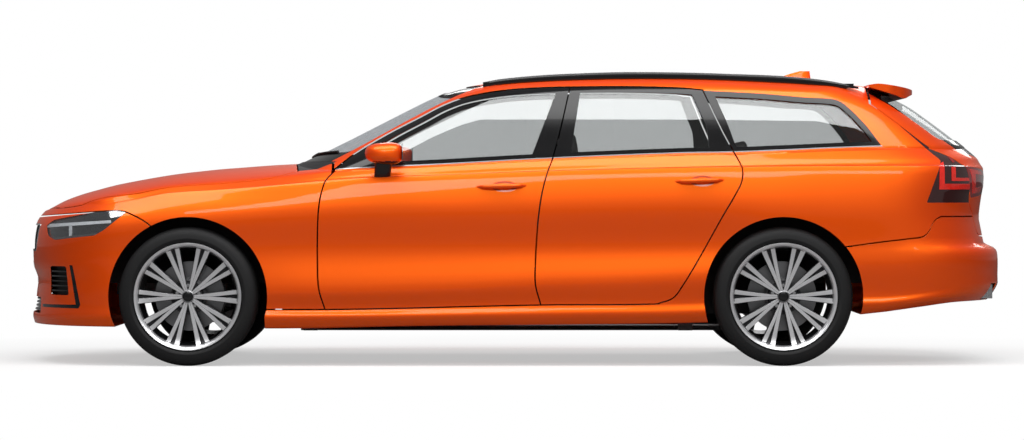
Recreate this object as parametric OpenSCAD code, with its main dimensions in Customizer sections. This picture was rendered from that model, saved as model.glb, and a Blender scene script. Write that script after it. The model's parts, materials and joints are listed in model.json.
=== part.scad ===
// Five-door station wagon, built as separate panels, glass, cabin pieces,
// running gear and wheels on one floor.
// Nose toward -X, left side toward -Y, +Z up, origin on the floor under the
// middle of the car. Lengths in millimetres.

/* [Overall] */
// Distance between the front and rear axle centres
wheelbase = 2940; // [2450:10:3530]
// Nose to the front axle centre
front_overhang = 860; // [715:5:1035]
// Rear axle centre to the tail
rear_overhang = 1140; // [950:10:1370]
// Width over the body sides, without the mirrors
body_w = 1880; // [1565:5:2260]
// Floor to the top of the roof panel
roof_h = 1455; // [1210:5:1750]

/* [Wheels] */
// Outside radius of a tyre
tyre_r = 343; // [285:1:412]
// Width of a tyre
tyre_w = 255; // [212:1:306]
// Radius of a rim where the tyre sits
rim_r = 254; // [211:1:270]
// Distance from the widest body side in to the tyre's outer face
wheel_inset = 4; // [0:1:40]
// Free space between a tyre and its arch
arch_gap = 50; // [40:1:60]
// Radius of the hub spigot that centres a wheel
hub_r = 31.5; // [25:0.5:40]
// Diameter of the circle through the wheel bolts
bolt_circle = 108; // [98:1:120]
// Radius of a brake disc
disc_r = 170; // [140:1:190]

/* [Panels] */
// Thickness of a skin panel such as the hood
skin_t = 5; // [4:1:8]
// Depth of a door, from the widest point of the side to its inner face
door_t = 130; // [110:1:150]
// Thickness of a window frame or pillar
frame_t = 40; // [34:1:48]
// Thickness of a pane of glass
glass_t = 5; // [4:0.5:6]
// Gap between neighbouring panels
panel_gap = 7; // [6:0.5:9]
// Clearance where one still piece lies against another
seat_gap = 0.3; // [0.2:0.1:0.5]

/* [Hinges] */
// Outside radius of a hinge knuckle
knuckle_r = 11; // [9:0.5:13]
// Radius of a hinge pin
pin_r = 5; // [4:0.5:6]
// Clearance round a pin in its bore
pin_gap = 0.1; // [0.05:0.05:0.3]
// Length of one hinge knuckle
knuckle_l = 30; // [24:1:36]

/* [Cabin] */
// Width of a front seat
seat_w = 520; // [440:5:620]
// Radius of the steering wheel rim
steer_r = 185; // [155:1:220]

/* [Hidden] */
$fn = 48;

// Sizes at which the body's curves below are drawn
draw_front = -1610;
draw_rear = 1330;
draw_nose = -2470;
draw_tail = 2470;
draw_half_w = 940;
draw_roof = 1455;

body_l = front_overhang + wheelbase + rear_overhang;
front_x = front_overhang - body_l / 2;
rear_x = front_x + wheelbase;
half_w = body_w / 2;
wheel_y = half_w - wheel_inset - tyre_w / 2;
arch_r = tyre_r + arch_gap;

// Drawn coordinates to real ones
function fx(x) =
    x < draw_front ? front_x + (x - draw_front) * front_overhang / (draw_front - draw_nose)
    : x > draw_rear ? rear_x + (x - draw_rear) * rear_overhang / (draw_tail - draw_rear)
    : front_x + (x - draw_front) * wheelbase / (draw_rear - draw_front);
function fy(y) = y * half_w / draw_half_w;
function fz(z) = z * roof_h / draw_roof;
function place(p) = [fx(p[0]), fy(p[1]), fz(p[2])];

// Smooth curve through a list of [x, y] points, held level past its ends
function seg(p, x, i = 0) = i >= len(p) - 2 || x < p[i + 1][0] ? i : seg(p, x, i + 1);
function slope(p, i) =
    let (a = max(i - 1, 0), b = min(i + 1, len(p) - 1))
    (p[b][1] - p[a][1]) / (p[b][0] - p[a][0]);
function curve(p, x) =
    x <= p[0][0] ? p[0][1]
    : x >= p[len(p) - 1][0] ? p[len(p) - 1][1]
    : let (i = seg(p, x), h = p[i + 1][0] - p[i][0], t = (x - p[i][0]) / h)
      p[i][1] * (1 + 2 * t) * pow(1 - t, 2) + slope(p, i) * h * t * pow(1 - t, 2)
      + p[i + 1][1] * t * t * (3 - 2 * t) + slope(p, i + 1) * h * t * t * (t - 1);
function mix(a, b, t) = a + (b - a) * t;

// Lines along the body side, bottom to top: height over x, then half-width over x
sill_z = [[-2470, 195], [-1985, 193], [-1150, 185], [-450, 198], [300, 205], [950, 215],
    [1400, 235], [1716, 259], [1935, 291], [2130, 313], [2470, 318]];
sill_y = [[-2470, 840], [-1985, 880], [-1150, 890], [1400, 890], [2000, 870], [2470, 850]];
sill_crest_z = [[-2470, 238], [-1985, 240], [-1150, 239], [300, 254], [950, 264],
    [1716, 310], [2130, 352], [2470, 362]];
sill_crest_y = [[-2470, 860], [-1985, 905], [-1150, 925], [950, 925], [1716, 915], [2470, 880]];
door_foot_z = [[-2470, 300], [-1985, 290], [-930, 283], [120, 305], [700, 310],
    [1716, 350], [2130, 402], [2470, 420]];
door_foot_y = [[-2470, 870], [-1985, 905], [-1150, 915], [1330, 915], [2470, 885]];
low_crease_z = [[-2470, 380], [-1985, 375], [-930, 367], [-360, 383], [110, 406],
    [820, 431], [1716, 500], [2470, 548]];
low_crease_y = [[-2470, 880], [-1985, 910], [-1150, 935], [-930, 938], [820, 938],
    [1330, 936], [2000, 915], [2470, 895]];
hollow_z = [[-2470, 500], [-1950, 560], [-930, 570], [900, 590], [1716, 600], [2470, 604]];
hollow_y = [[-2470, 880], [-1950, 910], [-1610, 922], [-1100, 915], [0, 914], [900, 916],
    [1330, 930], [1800, 918], [2470, 885]];
bulge_z = [[-2470, 640], [-1950, 720], [-1100, 770], [0, 780], [900, 795], [1716, 790],
    [2470, 745]];
bulge_y = [[-2470, 875], [-2000, 905], [-1610, 928], [-1100, 925], [0, 930], [900, 934],
    [1330, 936], [1800, 915], [2300, 870], [2470, 855]];
shoulder_z = [[-2470, 728], [-2200, 772], [-1870, 822], [-1729, 851], [-1440, 871],
    [-1245, 886], [-1000, 908], [-740, 928], [-365, 941], [180, 961], [820, 976],
    [1120, 981], [1900, 986], [2470, 980]];
shoulder_y = [[-2470, 820], [-1900, 845], [-1610, 870], [-1100, 885], [0, 900], [1000, 905],
    [1500, 900], [2000, 870], [2300, 840], [2470, 825]];
belt_z = [[-2470, 760], [-2374, 774], [-2200, 800], [-2000, 832], [-1870, 852],
    [-1729, 879], [-1440, 901], [-1245, 919], [-1050, 941], [-887, 961], [-366, 987],
    [181, 1017], [821, 1043], [1098, 1048], [1634, 1071], [1780, 1076], [2470, 1090]];
fender_top_y = [[-2470, 790], [-2200, 812], [-1900, 815], [-1610, 833], [-1229, 830],
    [-1050, 825], [-887, 824]];
undercut = [[-1200, 1], [-900, 11], [2000, 11], [2300, 1]];

// Side of the cabin above the belt: half-width over height, less a taper over x
cabin_side = [[880, 884], [960, 869], [1010, 854], [1100, 815], [1200, 770], [1300, 718],
    [1380, 668], [1420, 636], [1470, 585]];
cabin_taper = [[-900, 44], [-500, 15], [0, 0], [900, 2], [1400, 20], [1800, 48],
    [2100, 85], [2400, 120]];
function cabin_y(x, z) = curve(cabin_side, z) - curve(cabin_taper, x);

// Profiles on the centre plane: x over height for nose, tail and windscreen,
// height over x for hood and roof
nose_x = [[195, -2462], [233, -2470], [297, -2456], [360, -2448], [425, -2442], [487, -2464],
    [592, -2468], [644, -2464], [697, -2453], [730, -2437], [774, -2395], [800, -2350]];
tail_x = [[250, 2300], [300, 2400], [387, 2466], [434, 2470], [549, 2468], [577, 2452],
    [600, 2403], [618, 2396], [673, 2386], [730, 2376], [831, 2388], [894, 2400],
    [976, 2400], [1003, 2385], [1034, 2367], [1101, 2290], [1231, 2120], [1313, 1995],
    [1400, 1790], [1470, 1600]];
screen_x = [[900, -1320], [940, -1240], [1002, -1104], [1110, -880], [1216, -672],
    [1323, -460], [1372, -349], [1430, -200], [1500, -20]];
hood_z = [[-2400, 765], [-2374, 774], [-2289, 819], [-2205, 850], [-2131, 871],
    [-2026, 898], [-1920, 919], [-1814, 938], [-1709, 954], [-1604, 966], [-1499, 977],
    [-1393, 985], [-1235, 997], [-1121, 1003], [-1060, 1007], [-960, 1012], [-880, 1014]];
roof_z = [[-760, 1376], [-340, 1376], [-275, 1393], [-100, 1423], [100, 1440], [400, 1452],
    [700, 1455], [1000, 1450], [1300, 1437], [1600, 1419], [1800, 1402], [1900, 1392],
    [2500, 1330]];

// Plan corners: where they start and how round they are
nose_corner = -1950;
nose_power = 2.2;
screen_corner_l = 460;
tail_corner_l = 600;

// A station is [kind, value]: a nose angle, a share of the side, or a tail angle
nose_side = [-1950, -1850, -1740, -1610, -1480, -1340, -1220, -1100, -960, -800, -620,
    -420, -200, 0, 200, 400, 600, 800, 960, 1100, 1220, 1340, 1460, 1600];
low_stations = concat(
    [for (a = [84, 71, 59, 47, 36, 25, 13]) [0, a]],
    [for (x = nose_side) [1, x]],
    [for (a = [0, 16, 30, 43, 55, 67, 78, 86]) [2, a]]);
high_stations = concat(
    [for (a = [84, 68, 54, 42, 31, 21, 10, 0]) [0, a]],
    [for (u = [0.08, 0.18, 0.3, 0.42, 0.54, 0.66, 0.78, 0.9]) [1, u]],
    [for (a = [0, 16, 30, 43, 55, 67, 78, 86]) [2, a]]);
top_shares = [0.97, 0.88, 0.7, 0.45, 0.15];
high_shares = [-0.12, 0, 0.14, 0.3, 0.47, 0.64, 0.8, 0.92, 1];
low_rows = 10;

function row_z(j, x) =
    j == 0 ? curve(sill_z, x)
    : j == 1 ? curve(sill_crest_z, x)
    : j == 2 ? curve(door_foot_z, x)
    : j == 3 ? curve(low_crease_z, x)
    : j == 4 ? curve(hollow_z, x)
    : j == 5 ? curve(bulge_z, x)
    : j == 6 ? curve(shoulder_z, x)
    : mix(curve(shoulder_z, x), curve(belt_z, x), [0.08, 0.45, 1][j - 7]);
function belt_y(x) = x < -887 ? curve(fender_top_y, x) : cabin_y(x, curve(belt_z, x));
function row_y(j, x) =
    j == 0 ? curve(sill_y, x)
    : j == 1 ? curve(sill_crest_y, x)
    : j == 2 ? curve(door_foot_y, x)
    : j == 3 ? curve(low_crease_y, x)
    : j == 4 ? curve(hollow_y, x)
    : j == 5 ? curve(bulge_y, x)
    : j == 6 ? curve(shoulder_y, x)
    : mix(curve(shoulder_y, x), belt_y(x), [0.08, 0.45, 1][j - 7])
      - curve(undercut, x) * [1, 0.5, 0][j - 7];

// Point on the lower body, set in by e, on the left side
function low_plan(s, x_nominal, z, w, e) =
    s[0] == 0 ? let (c = nose_corner, t = pow(sin(s[1]), 2 / nose_power))
        [c - (c - curve(nose_x, z) - e) * t, w * pow(cos(s[1]), 2 / nose_power)]
    : s[0] == 1 ? [s[1], w]
    : let (tip = curve(tail_x, z), t = pow(sin(s[1]), 2 / 3.2))
        [tip - tail_corner_l + (tail_corner_l - e) * t, w * pow(cos(s[1]), 2 / 2.8)];
function low_nominal(s) =
    s[0] == 0 ? mix(nose_corner, draw_nose, pow(sin(s[1]), 2 / nose_power))
    : s[0] == 1 ? s[1]
    : mix(1800, 2400, pow(sin(s[1]), 2 / 3.2));
function low_side(s, j, e, flat) =
    let (x = low_nominal(s), z = row_z(j, x) + (j == 0 ? e : j == 9 ? -e : 0),
        w = min(row_y(j, x) - e, flat), q = low_plan(s, x, z, w, e))
    [q[0], -q[1], z];
function low_top(s, share, e, flat) =
    let (b = low_side(s, 9, e, flat),
        top = b[0] < -900 ? curve(hood_z, b[0]) - e : b[2])
    [b[0], b[1] * share, b[2] + max(0, top - b[2]) * pow(1 - pow(share, 2.5), 0.7)];
function low_grid(e, flat) = [for (s = low_stations) concat(
    [for (j = [0:low_rows - 1]) place(low_side(s, j, e, flat))],
    [for (k = top_shares) place(low_top(s, k, e, flat))])];

// Point on the cabin wall, set in by e, on the left side
function high_nominal(s) =
    s[0] == 0 ? mix(-770, -1000, sin(s[1]))
    : s[0] == 1 ? mix(-770, 1790, s[1])
    : mix(1790, 2390, sin(s[1]));
function high_side(s, k, e) =
    let (z = mix(curve(belt_z, high_nominal(s)), 1470, high_shares[k]),
        fold = k == 0 ? 30 : 0,
        front = curve(screen_x, z) + screen_corner_l,
        back = curve(tail_x, z) - tail_corner_l,
        x = s[0] == 0 ? front - (screen_corner_l - e) * pow(sin(s[1]), 2 / 2.45)
            : s[0] == 1 ? mix(front, back, s[1])
            : back + (tail_corner_l - e - fold) * pow(sin(s[1]), 2 / 3.4),
        share = s[0] == 1 ? 1 : pow(cos(s[1]), 2 / 3))
    [x, -(cabin_y(x, z) - e - fold) * share, z];
function high_grid(e) = [for (s = high_stations)
    [for (k = [0:len(high_shares) - 1]) place(high_side(s, k, e))]];

// Faces of a solid whose left side is a grid and whose right side mirrors it
function quad(a, b, c, d) = [[a, b, c], [a, c, d]];
module mirrored_solid(g) {
    n = len(g);
    m = len(g[0]);
    left = [for (r = g) for (p = r) p];
    right = [for (p = left) [p[0], -p[1], p[2]]];
    o = n * m;
    faces = concat(
        [for (i = [0:n - 2]) for (j = [0:m - 2])
            each quad(i * m + j, i * m + j + 1, i * m + m + j + 1, i * m + m + j)],
        [for (i = [0:n - 2]) for (j = [0:m - 2])
            each quad(o + i * m + j, o + i * m + m + j, o + i * m + m + j + 1, o + i * m + j + 1)],
        [for (j = [0:m - 2]) each quad(o + j, o + j + 1, j + 1, j)],
        [for (j = [0:m - 2]) let (b = n * m - m)
            each quad(b + j, b + j + 1, o + b + j + 1, o + b + j)],
        [for (i = [0:n - 2]) each quad(o + i * m, i * m, i * m + m, o + i * m + m)],
        [for (i = [0:n - 2]) let (t = m - 1)
            each quad(i * m + t, o + i * m + t, o + i * m + m + t, i * m + m + t)]);
    polyhedron(points = concat(left, right), faces = faces, convexity = 10);
}

// Roof surface, lowered by e
module under_roof(e) {
    xs = [-760, -500, -340, -260, -170, -60, 80, 250, 450, 700, 950, 1200, 1450, 1650, 1800,
        1950, 2500];
    shares = [900, 700, 640, 560, 400, 200, 15];
    function crown(y) = 30 * pow(y / 600, 2) + 40 * pow(max(0, y - 540) / 140, 2);
    mirrored_solid([for (x = xs) concat([place([x, -900, 700])],
        [for (y = shares) place([x, -y, curve(roof_z, x) - crown(y) - e])],
        [])]);
}
// Whole body outline, set in by e; flat is the widest that the lower part may be
module body_solid(e, flat = 2000, high_e = -1) {
    he = high_e < 0 ? e : high_e;
    mirrored_solid(low_grid(e, flat));
    intersection() {
        mirrored_solid(high_grid(he));
        under_roof(he);
    }
}
// Keeps a curved panel as one mesh
module one_mesh() { resize([0, 0, 0]) children(); }
// Shell of a thin skin, and shell as deep as a door
module skin_shell() { difference() { body_solid(0); body_solid(skin_t); } }
inner_y = draw_half_w - door_t;
module door_shell() { difference() { body_solid(0); body_solid(skin_t, inner_y, frame_t); } }

// Prisms: outline seen from the side, from above and from behind
function side_points(p) = [for (q = p) [fx(q[0]), fz(q[1])]];
module side_prism(y_from = 0, y_to = 1200) {
    translate([0, -y_from, 0]) rotate([90, 0, 0]) linear_extrude(y_to - y_from) children();
}
module rear_prism(x_from, x_to) {
    translate([x_from, 0, 0]) rotate([90, 0, 90]) linear_extrude(x_to - x_from) children();
}
module arch_2d(x, r = arch_r) { translate([x, tyre_r]) circle(r); }
module arches_2d(r = arch_r) { arch_2d(front_x, r); arch_2d(rear_x, r); }

// Panel outlines on the side, in drawn coordinates [x, z]
front_door_front = [[-936, 270], [-959, 383], [-966, 504], [-966, 655], [-957, 805],
    [-930, 909], [-887, 961]];
split_line = [[128, 270], [128, 305], [102, 403], [102, 504], [108, 625], [118, 745],
    [135, 856], [162, 957], [185, 1017], [222, 1149], [276, 1381]];
window_top_front = [[-887, 971], [-789, 1049], [-629, 1146], [-468, 1230], [-354, 1290],
    [-240, 1331], [-68, 1362], [104, 1376], [276, 1381]];
window_top_rear = [[276, 1381], [549, 1383], [829, 1376], [940, 1366]];
rear_door_back = [[940, 1366], [1030, 1165], [1090, 1048], [1123, 976], [1121, 916],
    [1093, 856], [1022, 735], [922, 554], [821, 388], [781, 338], [711, 313], [711, 270]];
quarter_top = [[950, 1366], [1241, 1350], [1445, 1332], [1598, 1322], [1648, 1299],
    [1745, 1201], [1813, 1109], [1780, 1084]];
function reversed(p) = [for (i = [len(p) - 1:-1:0]) p[i]];
function foot_line(x0, x1) = [for (i = [0:4]) let (x = mix(x0, x1, i / 4))
    [x, curve(door_foot_z, x)]];
front_door = concat(foot_line(128, -930), [for (i = [1:6]) front_door_front[i]],
    window_top_front, reversed([for (i = [2:9]) split_line[i]]));
rear_door = concat(foot_line(711, 128 + panel_gap),
    [for (i = [2:10]) [split_line[i][0] + panel_gap, split_line[i][1]]],
    [for (i = [1:3]) window_top_rear[i]], [for (i = [1:9]) rear_door_back[i]]);
module front_door_2d(grow = 0) { offset(delta = grow) polygon(side_points(front_door)); }
module rear_door_2d(grow = 0) { offset(delta = grow) polygon(side_points(rear_door)); }

// Window outlines, grown or shrunk
module band_2d(grow) {
    offset(delta = grow) polygon(side_points(concat(window_top_front,
        [for (i = [1:3]) window_top_rear[i]], quarter_top,
        reversed([for (x = [-860:220:1720]) [x, curve(belt_z, x) + 8]]))));
}
window_border = 26;
module pane_2d(edges, grow) {
    offset(delta = grow) intersection() {
        band_2d(-window_border);
        polygon(side_points(edges));
    }
}
front_pane = [[-700, 900], [-700, 1400], [208, 1400], [208, 1349], [83, 1020], [60, 900]];
rear_pane = [[277, 900], [277, 1027], [330, 1355], [335, 1400], [865, 1400], [888, 1349],
    [959, 1180], [950, 900]];
quarter_pane = [[1140, 1020], [1100, 1085], [1065, 1190], [1000, 1345], [1000, 1400],
    [1800, 1400], [1800, 1000]];
glass_in = 8;
module glass_shell() {
    difference() {
        body_solid(0, 2000, glass_in);
        body_solid(60, 700, glass_in + glass_t);
    }
}

// Left or right: side is 1 on the left
module on_side(side) { mirror([0, side > 0 ? 0 : 1, 0]) children(); }

// Floor and inner structure
sill_floor_z = 205;
boot_floor_z = 530;
bulkhead_x = -1150;
post_in = 790;
post_out = 730;
rail_y = 430;
liner_t = 4;
liner_r = arch_r + 32;
liner_in_y = 480;
module slab(x0, x1, y0, y1, z0, z1) {
    translate([fx(x0), fy(y0), fz(z0)]) cube([fx(x1) - fx(x0), fy(y1) - fy(y0), fz(z1) - fz(z0)]);
}
module both(x0, x1, y0, y1, z0, z1) {
    slab(x0, x1, y0, y1, z0, z1);
    slab(x0, x1, -y1, -y0, z0, z1);
}
jack_pads = [-1010, 850];
jack_pad_foot = 172;
function pad_top(x) = min(curve(sill_z, x - 35), curve(sill_z, x + 35));
module floor_pan() {
    color("dimgray") post_hinges();
    color("dimgray") for (x = jack_pads, side = [-1, 1]) on_side(side)
        translate([fx(x) - 35, -fy(800), fz(jack_pad_foot)])
            cube([70, 60, fz(pad_top(x) - jack_pad_foot) - seat_gap]);
    color("dimgray") one_mesh() difference() {
        intersection() {
            body_solid(skin_t + seat_gap, inner_y - seat_gap, frame_t + seat_gap);
            cabin_floor();
        }
        for (side = [-1, 1]) tyre_room(rear_x, side);
    }
}
// Front rails, bumper beam and front wheelhouses, ahead of the bulkhead
module front_rails() {
    color("dimgray") one_mesh() difference() {
        intersection() {
            body_solid(skin_t + seat_gap);
            union() {
                both(-2340, bulkhead_x - seat_gap, rail_y - 40, rail_y + 40, 400, 500);
                slab(-2500, -2300, -559, 559, 402, 490);
                for (side = [-1, 1]) liner(side, front_x);
            }
        }
        for (side = [-1, 1]) tyre_room(front_x, side);
    }
}
module cabin_floor() {
    slab(-1150, 760, -810, 810, 205, 225);
    slab(-1150, 700, -110, 110, 225, 330);
    slab(760, 800, -810, 810, 205, 420);
    slab(800, 1000, -810, 810, 400, 420);
    slab(980, 1000, -810, 810, 400, 545);
    slab(1000, 2290, -810, 810, 525, 545);
    slab(2270, 2290, -700, 700, 400, 545);
    slab(2280, 2500, -600, 600, 440, 520);
    both(1000, 2290, 470, 530, 400, 530);
    slab(bulkhead_x, bulkhead_x + 20, -810, 810, 205, 880);
    slab(bulkhead_x, bulkhead_x + 20, -720, 720, 860, 925);
    both(-930, -820, post_out, post_in, 225, 950);
    both(170, 300, post_out, post_in, 225, 940);
    for (side = [-1, 1]) liner(side, rear_x);
}
// Wheelhouse walls over the front wheels, and the hollow that the wheels turn in
module liner(side, x) {
    on_side(side) side_prism(liner_in_y - 11, half_w) intersection() {
        arch_2d(x, liner_r + liner_t);
        translate([x - 600, tyre_r + 141]) square([1200, 600]);
    }
}
module tyre_room(x, side) {
    on_side(side) side_prism(liner_in_y, half_w + 50) arch_2d(x, liner_r);
}

// Rocker, pillars and rear side wall as one pressing
module body_side_2d() {
    difference() {
        polygon(side_points([[-1230, 150], [-1230, 276], [-893, 276], [-893, 1004],
            [-1160, 1004], [-1100, 1120], [-300, 1480], [1776, 1480], [2480, 1480], [2480, 150]]));
        polygon(side_points([[1625, 0], [1625, 590], [2002, 640], [2032, 650], [2078, 722],
            [2100, 745], [2600, 745], [2600, 0]]));
        front_door_2d(panel_gap);
        rear_door_2d(panel_gap);
        hull() { front_door_2d(-25); translate([fx(60), fz(320)]) square([200, 500]); }
        arches_2d();
        pane_2d(quarter_pane, 0);
    }
}
roof_edge = 592;
module roof_plan(grow) {
    translate([0, 0, fz(1200)]) linear_extrude(500) offset(delta = grow)
        polygon([for (p = [[-345, 0], [-300, 440], [-240, 575], [-150, roof_edge],
            [1680, roof_edge], [1760, 575], [1777, 0], [1760, -575], [1680, -roof_edge],
            [-150, -roof_edge], [-240, -575], [-300, -440]]) [fx(p[0]), fy(p[1])]]);
}
module screen_front(grow) {
    rear_prism(fx(-1400), fx(-40)) offset(delta = grow) polygon([for (p = [[-745, 1012],
        [-700, 1120], [-640, 1250], [-585, 1368], [-540, 1392], [-400, 1398], [400, 1398],
        [540, 1392], [585, 1368], [640, 1250], [700, 1120], [745, 1012]]) [fy(p[0]), fz(p[1])]]);
}
tailgate_half = [[0, 640], [520, 640], [575, 660], [600, 745], [655, 800], [672, 880],
    [690, 1000], [690, 1080], [650, 1230], [600, 1360], [585, 1470], [0, 1470]];
module tailgate_2d(grow) {
    offset(delta = grow) polygon([for (p = concat(tailgate_half,
        [for (q = reversed(tailgate_half)) [-q[0], q[1]]])) [fy(p[0]), fz(p[1])]]);
}
tailgate_start = 1784;
module body_side(side) {
    color("orangered") on_side(side) one_mesh() difference() {
        intersection() {
            door_shell();
            side_prism(280) body_side_2d();
        }
        roof_plan(seat_gap);
        screen_front(0);
        rear_prism(fx(tailgate_start) - panel_gap, fx(2600)) tailgate_2d(panel_gap);
        rear_prism(fx(1900), fx(2600)) intersection() {
            tailgate_2d(95);
            translate([-1200, fz(760)]) square([2400, fz(1100) - fz(760)]);
        }
        hood_prism(panel_gap);
        slab(-1300, -860, -738, 738, 800, 1012);
        slab(1600, 1800, -575, 575, 1300, 1500);
        side_prism(half_w - 240) lamp_strip_2d(0);
    }
}
// Lamp strip up the rear pillar, and the lamp below it
module lamp_strip_2d(grow) {
    offset(delta = grow) polygon(side_points([[1800, 1330], [1860, 1330], [2200, 1085],
        [2480, 1085], [2480, 820], [2052, 820], [2090, 1000], [2050, 1030]]));
}
module body_side_left() body_side(1);
module body_side_right() body_side(-1);

// Roof skin with the beam that carries the tailgate hinges
tail_hinge_x = 1798;
tail_hinge_z = 1386;
tail_hinge_y = 300;
tail_knuckle_r = 7;
tail_knuckle_l = 24;
module roof_panel() {
    color("orangered") {
        one_mesh() union() {
            difference() {
                intersection() {
                    skin_shell();
                    roof_plan(0);
                }
                screen_front(seat_gap);
            }
            intersection() {
                body_solid(skin_t - 1);
                slab(1690, 1765, -540, 540, 1368, 1440);
            }
            fin();
        }
        for (side = [-1, 1]) on_side(side) tail_hinge_fixed();
    }
}
module fin() {
    side_prism(-9, 9) polygon(side_points([[1360, 1428], [1400, 1448], [1500, 1484],
        [1538, 1484], [1545, 1430], [1545, 1415], [1360, 1420]]));
}
module tail_hinge_fixed() {
    x = fx(tail_hinge_x);
    z = fz(tail_hinge_z);
    for (k = [-1, 1]) translate([x, -fy(tail_hinge_y) + k * (tail_knuckle_l + 1), z])
        rotate([90, 0, 0]) cylinder(r = tail_knuckle_r, h = tail_knuckle_l, center = true);
    for (k = [-1, 1]) translate([fx(1764), -fy(tail_hinge_y) + k * (tail_knuckle_l + 1) - 10, z - 5])
        cube([x - fx(1764), 20, 8]);
    translate([x, -fy(tail_hinge_y), z]) rotate([90, 0, 0])
        cylinder(r = pin_r - 1, h = 2 * tail_knuckle_l, center = true);
}

// Hood: skin with a deeper frame set in from its edge
hood_half = [[-2376, 0], [-2366, 286], [-2330, 430], [-2278, 560], [-2225, 650], [-2150, 728],
    [-2050, 775], [-1950, 805], [-1610, 826], [-1229, 822], [-1150, 796], [-1079, 740],
    [-1095, 500], [-1112, 250], [-1120, 0]];
module hood_prism(grow, z_from = 742) {
    translate([0, 0, fz(z_from)]) linear_extrude(400) offset(delta = grow)
        polygon([for (p = concat(hood_half, [for (q = reversed(hood_half)) [q[0], -q[1]]]))
            [fx(p[0]), fy(p[1])]]);
}
hood_hinge_x = -1050;
hood_hinge_z = 950;
hood_hinge_y = 670;
hood_frame_t = 24;
module hood() {
    color("orangered") {
        one_mesh() {
            intersection() {
                skin_shell();
                hood_prism(0);
            }
            intersection() {
                difference() {
                    body_solid(1);
                    body_solid(hood_frame_t);
                }
                hood_prism(-40);
            }
        }
        for (side = [-1, 1]) on_side(side) difference() {
            union() {
                hinge_knuckle_y(fx(hood_hinge_x), -fy(hood_hinge_y), fz(hood_hinge_z), knuckle_l);
                translate([fx(-1140), -fy(hood_hinge_y) - 10, fz(hood_hinge_z) - 6])
                    cube([fx(hood_hinge_x) - fx(-1140), 20, 12]);
                translate([fx(-1150), -fy(hood_hinge_y) - 10, fz(hood_hinge_z) - 6])
                    cube([14, 20, fz(968) - fz(hood_hinge_z) + 6]);
            }
            hinge_bore_y(fx(hood_hinge_x), -fy(hood_hinge_y), fz(hood_hinge_z));
        }
    }
}
module hinge_knuckle_y(x, y, z, l, r = knuckle_r) {
    translate([x, y, z]) rotate([90, 0, 0]) cylinder(r = r, h = l, center = true);
}
module hinge_bore_y(x, y, z, r = pin_r + pin_gap) {
    translate([x, y, z]) rotate([90, 0, 0]) cylinder(r = r, h = 200, center = true);
}
// Strip between the hood and the windscreen, with the fixed halves of the hood hinges
module cowl() {
    x = fx(hood_hinge_x);
    y = fy(hood_hinge_y);
    z = fz(hood_hinge_z);
    color("black") {
        one_mesh() difference() {
            intersection() {
                skin_shell();
                slab(-1130, -880, -737.7, 737.7, 900, 1011.5);
            }
            hood_prism(panel_gap);
            for (side = [-1, 1]) on_side(side) translate([fx(-1200), -y - 22, fz(900)])
                cube([fx(-1030) - fx(-1200), 44, 200]);
        }
        one_mesh() intersection() {
            body_solid(skin_t + seat_gap);
            union() {
                slab(-1149, -1100, -600, 600, 925.3, 935);
                slab(-1106, -1100, -600, 600, 925.3, 1010);
            }
        }
        for (side = [-1, 1]) on_side(side) {
            for (k = [-1, 1]) {
                hinge_knuckle_y(x, -y + k * (knuckle_l + 1), z, knuckle_l);
                translate([fx(bulkhead_x) + 20.3, -y + k * (knuckle_l + 1) - 10, z - 46])
                    cube([x - fx(bulkhead_x) - 20.3, 20, 24]);
                translate([x - 10, -y + k * (knuckle_l + 1) - 10, z - 40]) cube([20, 20, 36]);
            }
            hinge_knuckle_y(x, -y, z, 2 * knuckle_l, pin_r);
        }
    }
}

// Lamps, grille and bumpers
head_lamp = [[-2345, 690], [-2303, 719], [-2064, 762], [-1952, 766], [-1916, 759],
    [-1972, 714], [-2023, 673], [-2074, 644], [-2155, 636], [-2292, 620], [-2330, 640]];
side_intake = [[-2316, 490], [-2225, 490], [-2211, 346], [-2316, 346]];
front_cut = [[-2600, 720], [-2064, 762], [-1952, 766], [-1905, 756], [-1808, 704],
    [-1700, 600], [-1700, 50], [-2600, 50]];
module grille_2d(grow) {
    offset(delta = grow) polygon([for (p = [[-430, 560], [-470, 620], [-470, 700], [470, 700],
        [470, 620], [430, 560]]) [fy(p[0]), fz(p[1])]]);
    offset(delta = grow) polygon([for (p = [[-520, 250], [-480, 330], [480, 330], [520, 250]])
        [fy(p[0]), fz(p[1])]]);
}
module head_lamp_2d(grow) { offset(delta = grow) polygon(side_points(head_lamp)); }
module front_fenders() {
    color("orangered") one_mesh() for (side = [-1, 1]) on_side(side) difference() {
        intersection() {
            skin_shell();
            side_prism(180) difference() {
                polygon(side_points([[-2500, 283], [-960, 283], [-906, 940], [-906, 998],
                    [-2500, 998]]));
                offset(delta = panel_gap / 2) polygon(side_points(front_cut));
                front_door_2d(panel_gap);
                hull() { front_door_2d(panel_gap); translate([fx(-800), fz(260)]) square(5); }
                arches_2d();
                head_lamp_2d(seat_gap);
            }
        }
        hood_prism(panel_gap);
        translate([fx(-900), -1200, 0]) cube([600, 2400, 1500]);
        slab(-1136, -800, -738, 738, 900, 1100);
    }
}
module front_bumper() {
    color("orangered") one_mesh() difference() {
        intersection() {
            skin_shell();
            translate([0, half_w + 50, 0]) side_prism(0, 2 * half_w + 100) difference() {
                offset(delta = -panel_gap / 2) polygon(side_points(front_cut));
                arches_2d();
            }
        }
        for (side = [-1, 1]) on_side(side) side_prism(180) {
            head_lamp_2d(seat_gap);
            polygon(side_points(side_intake));
        }
        rear_prism(fx(-2600), fx(-2100)) grille_2d(0);
        hood_prism(panel_gap);
    }
}
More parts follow.
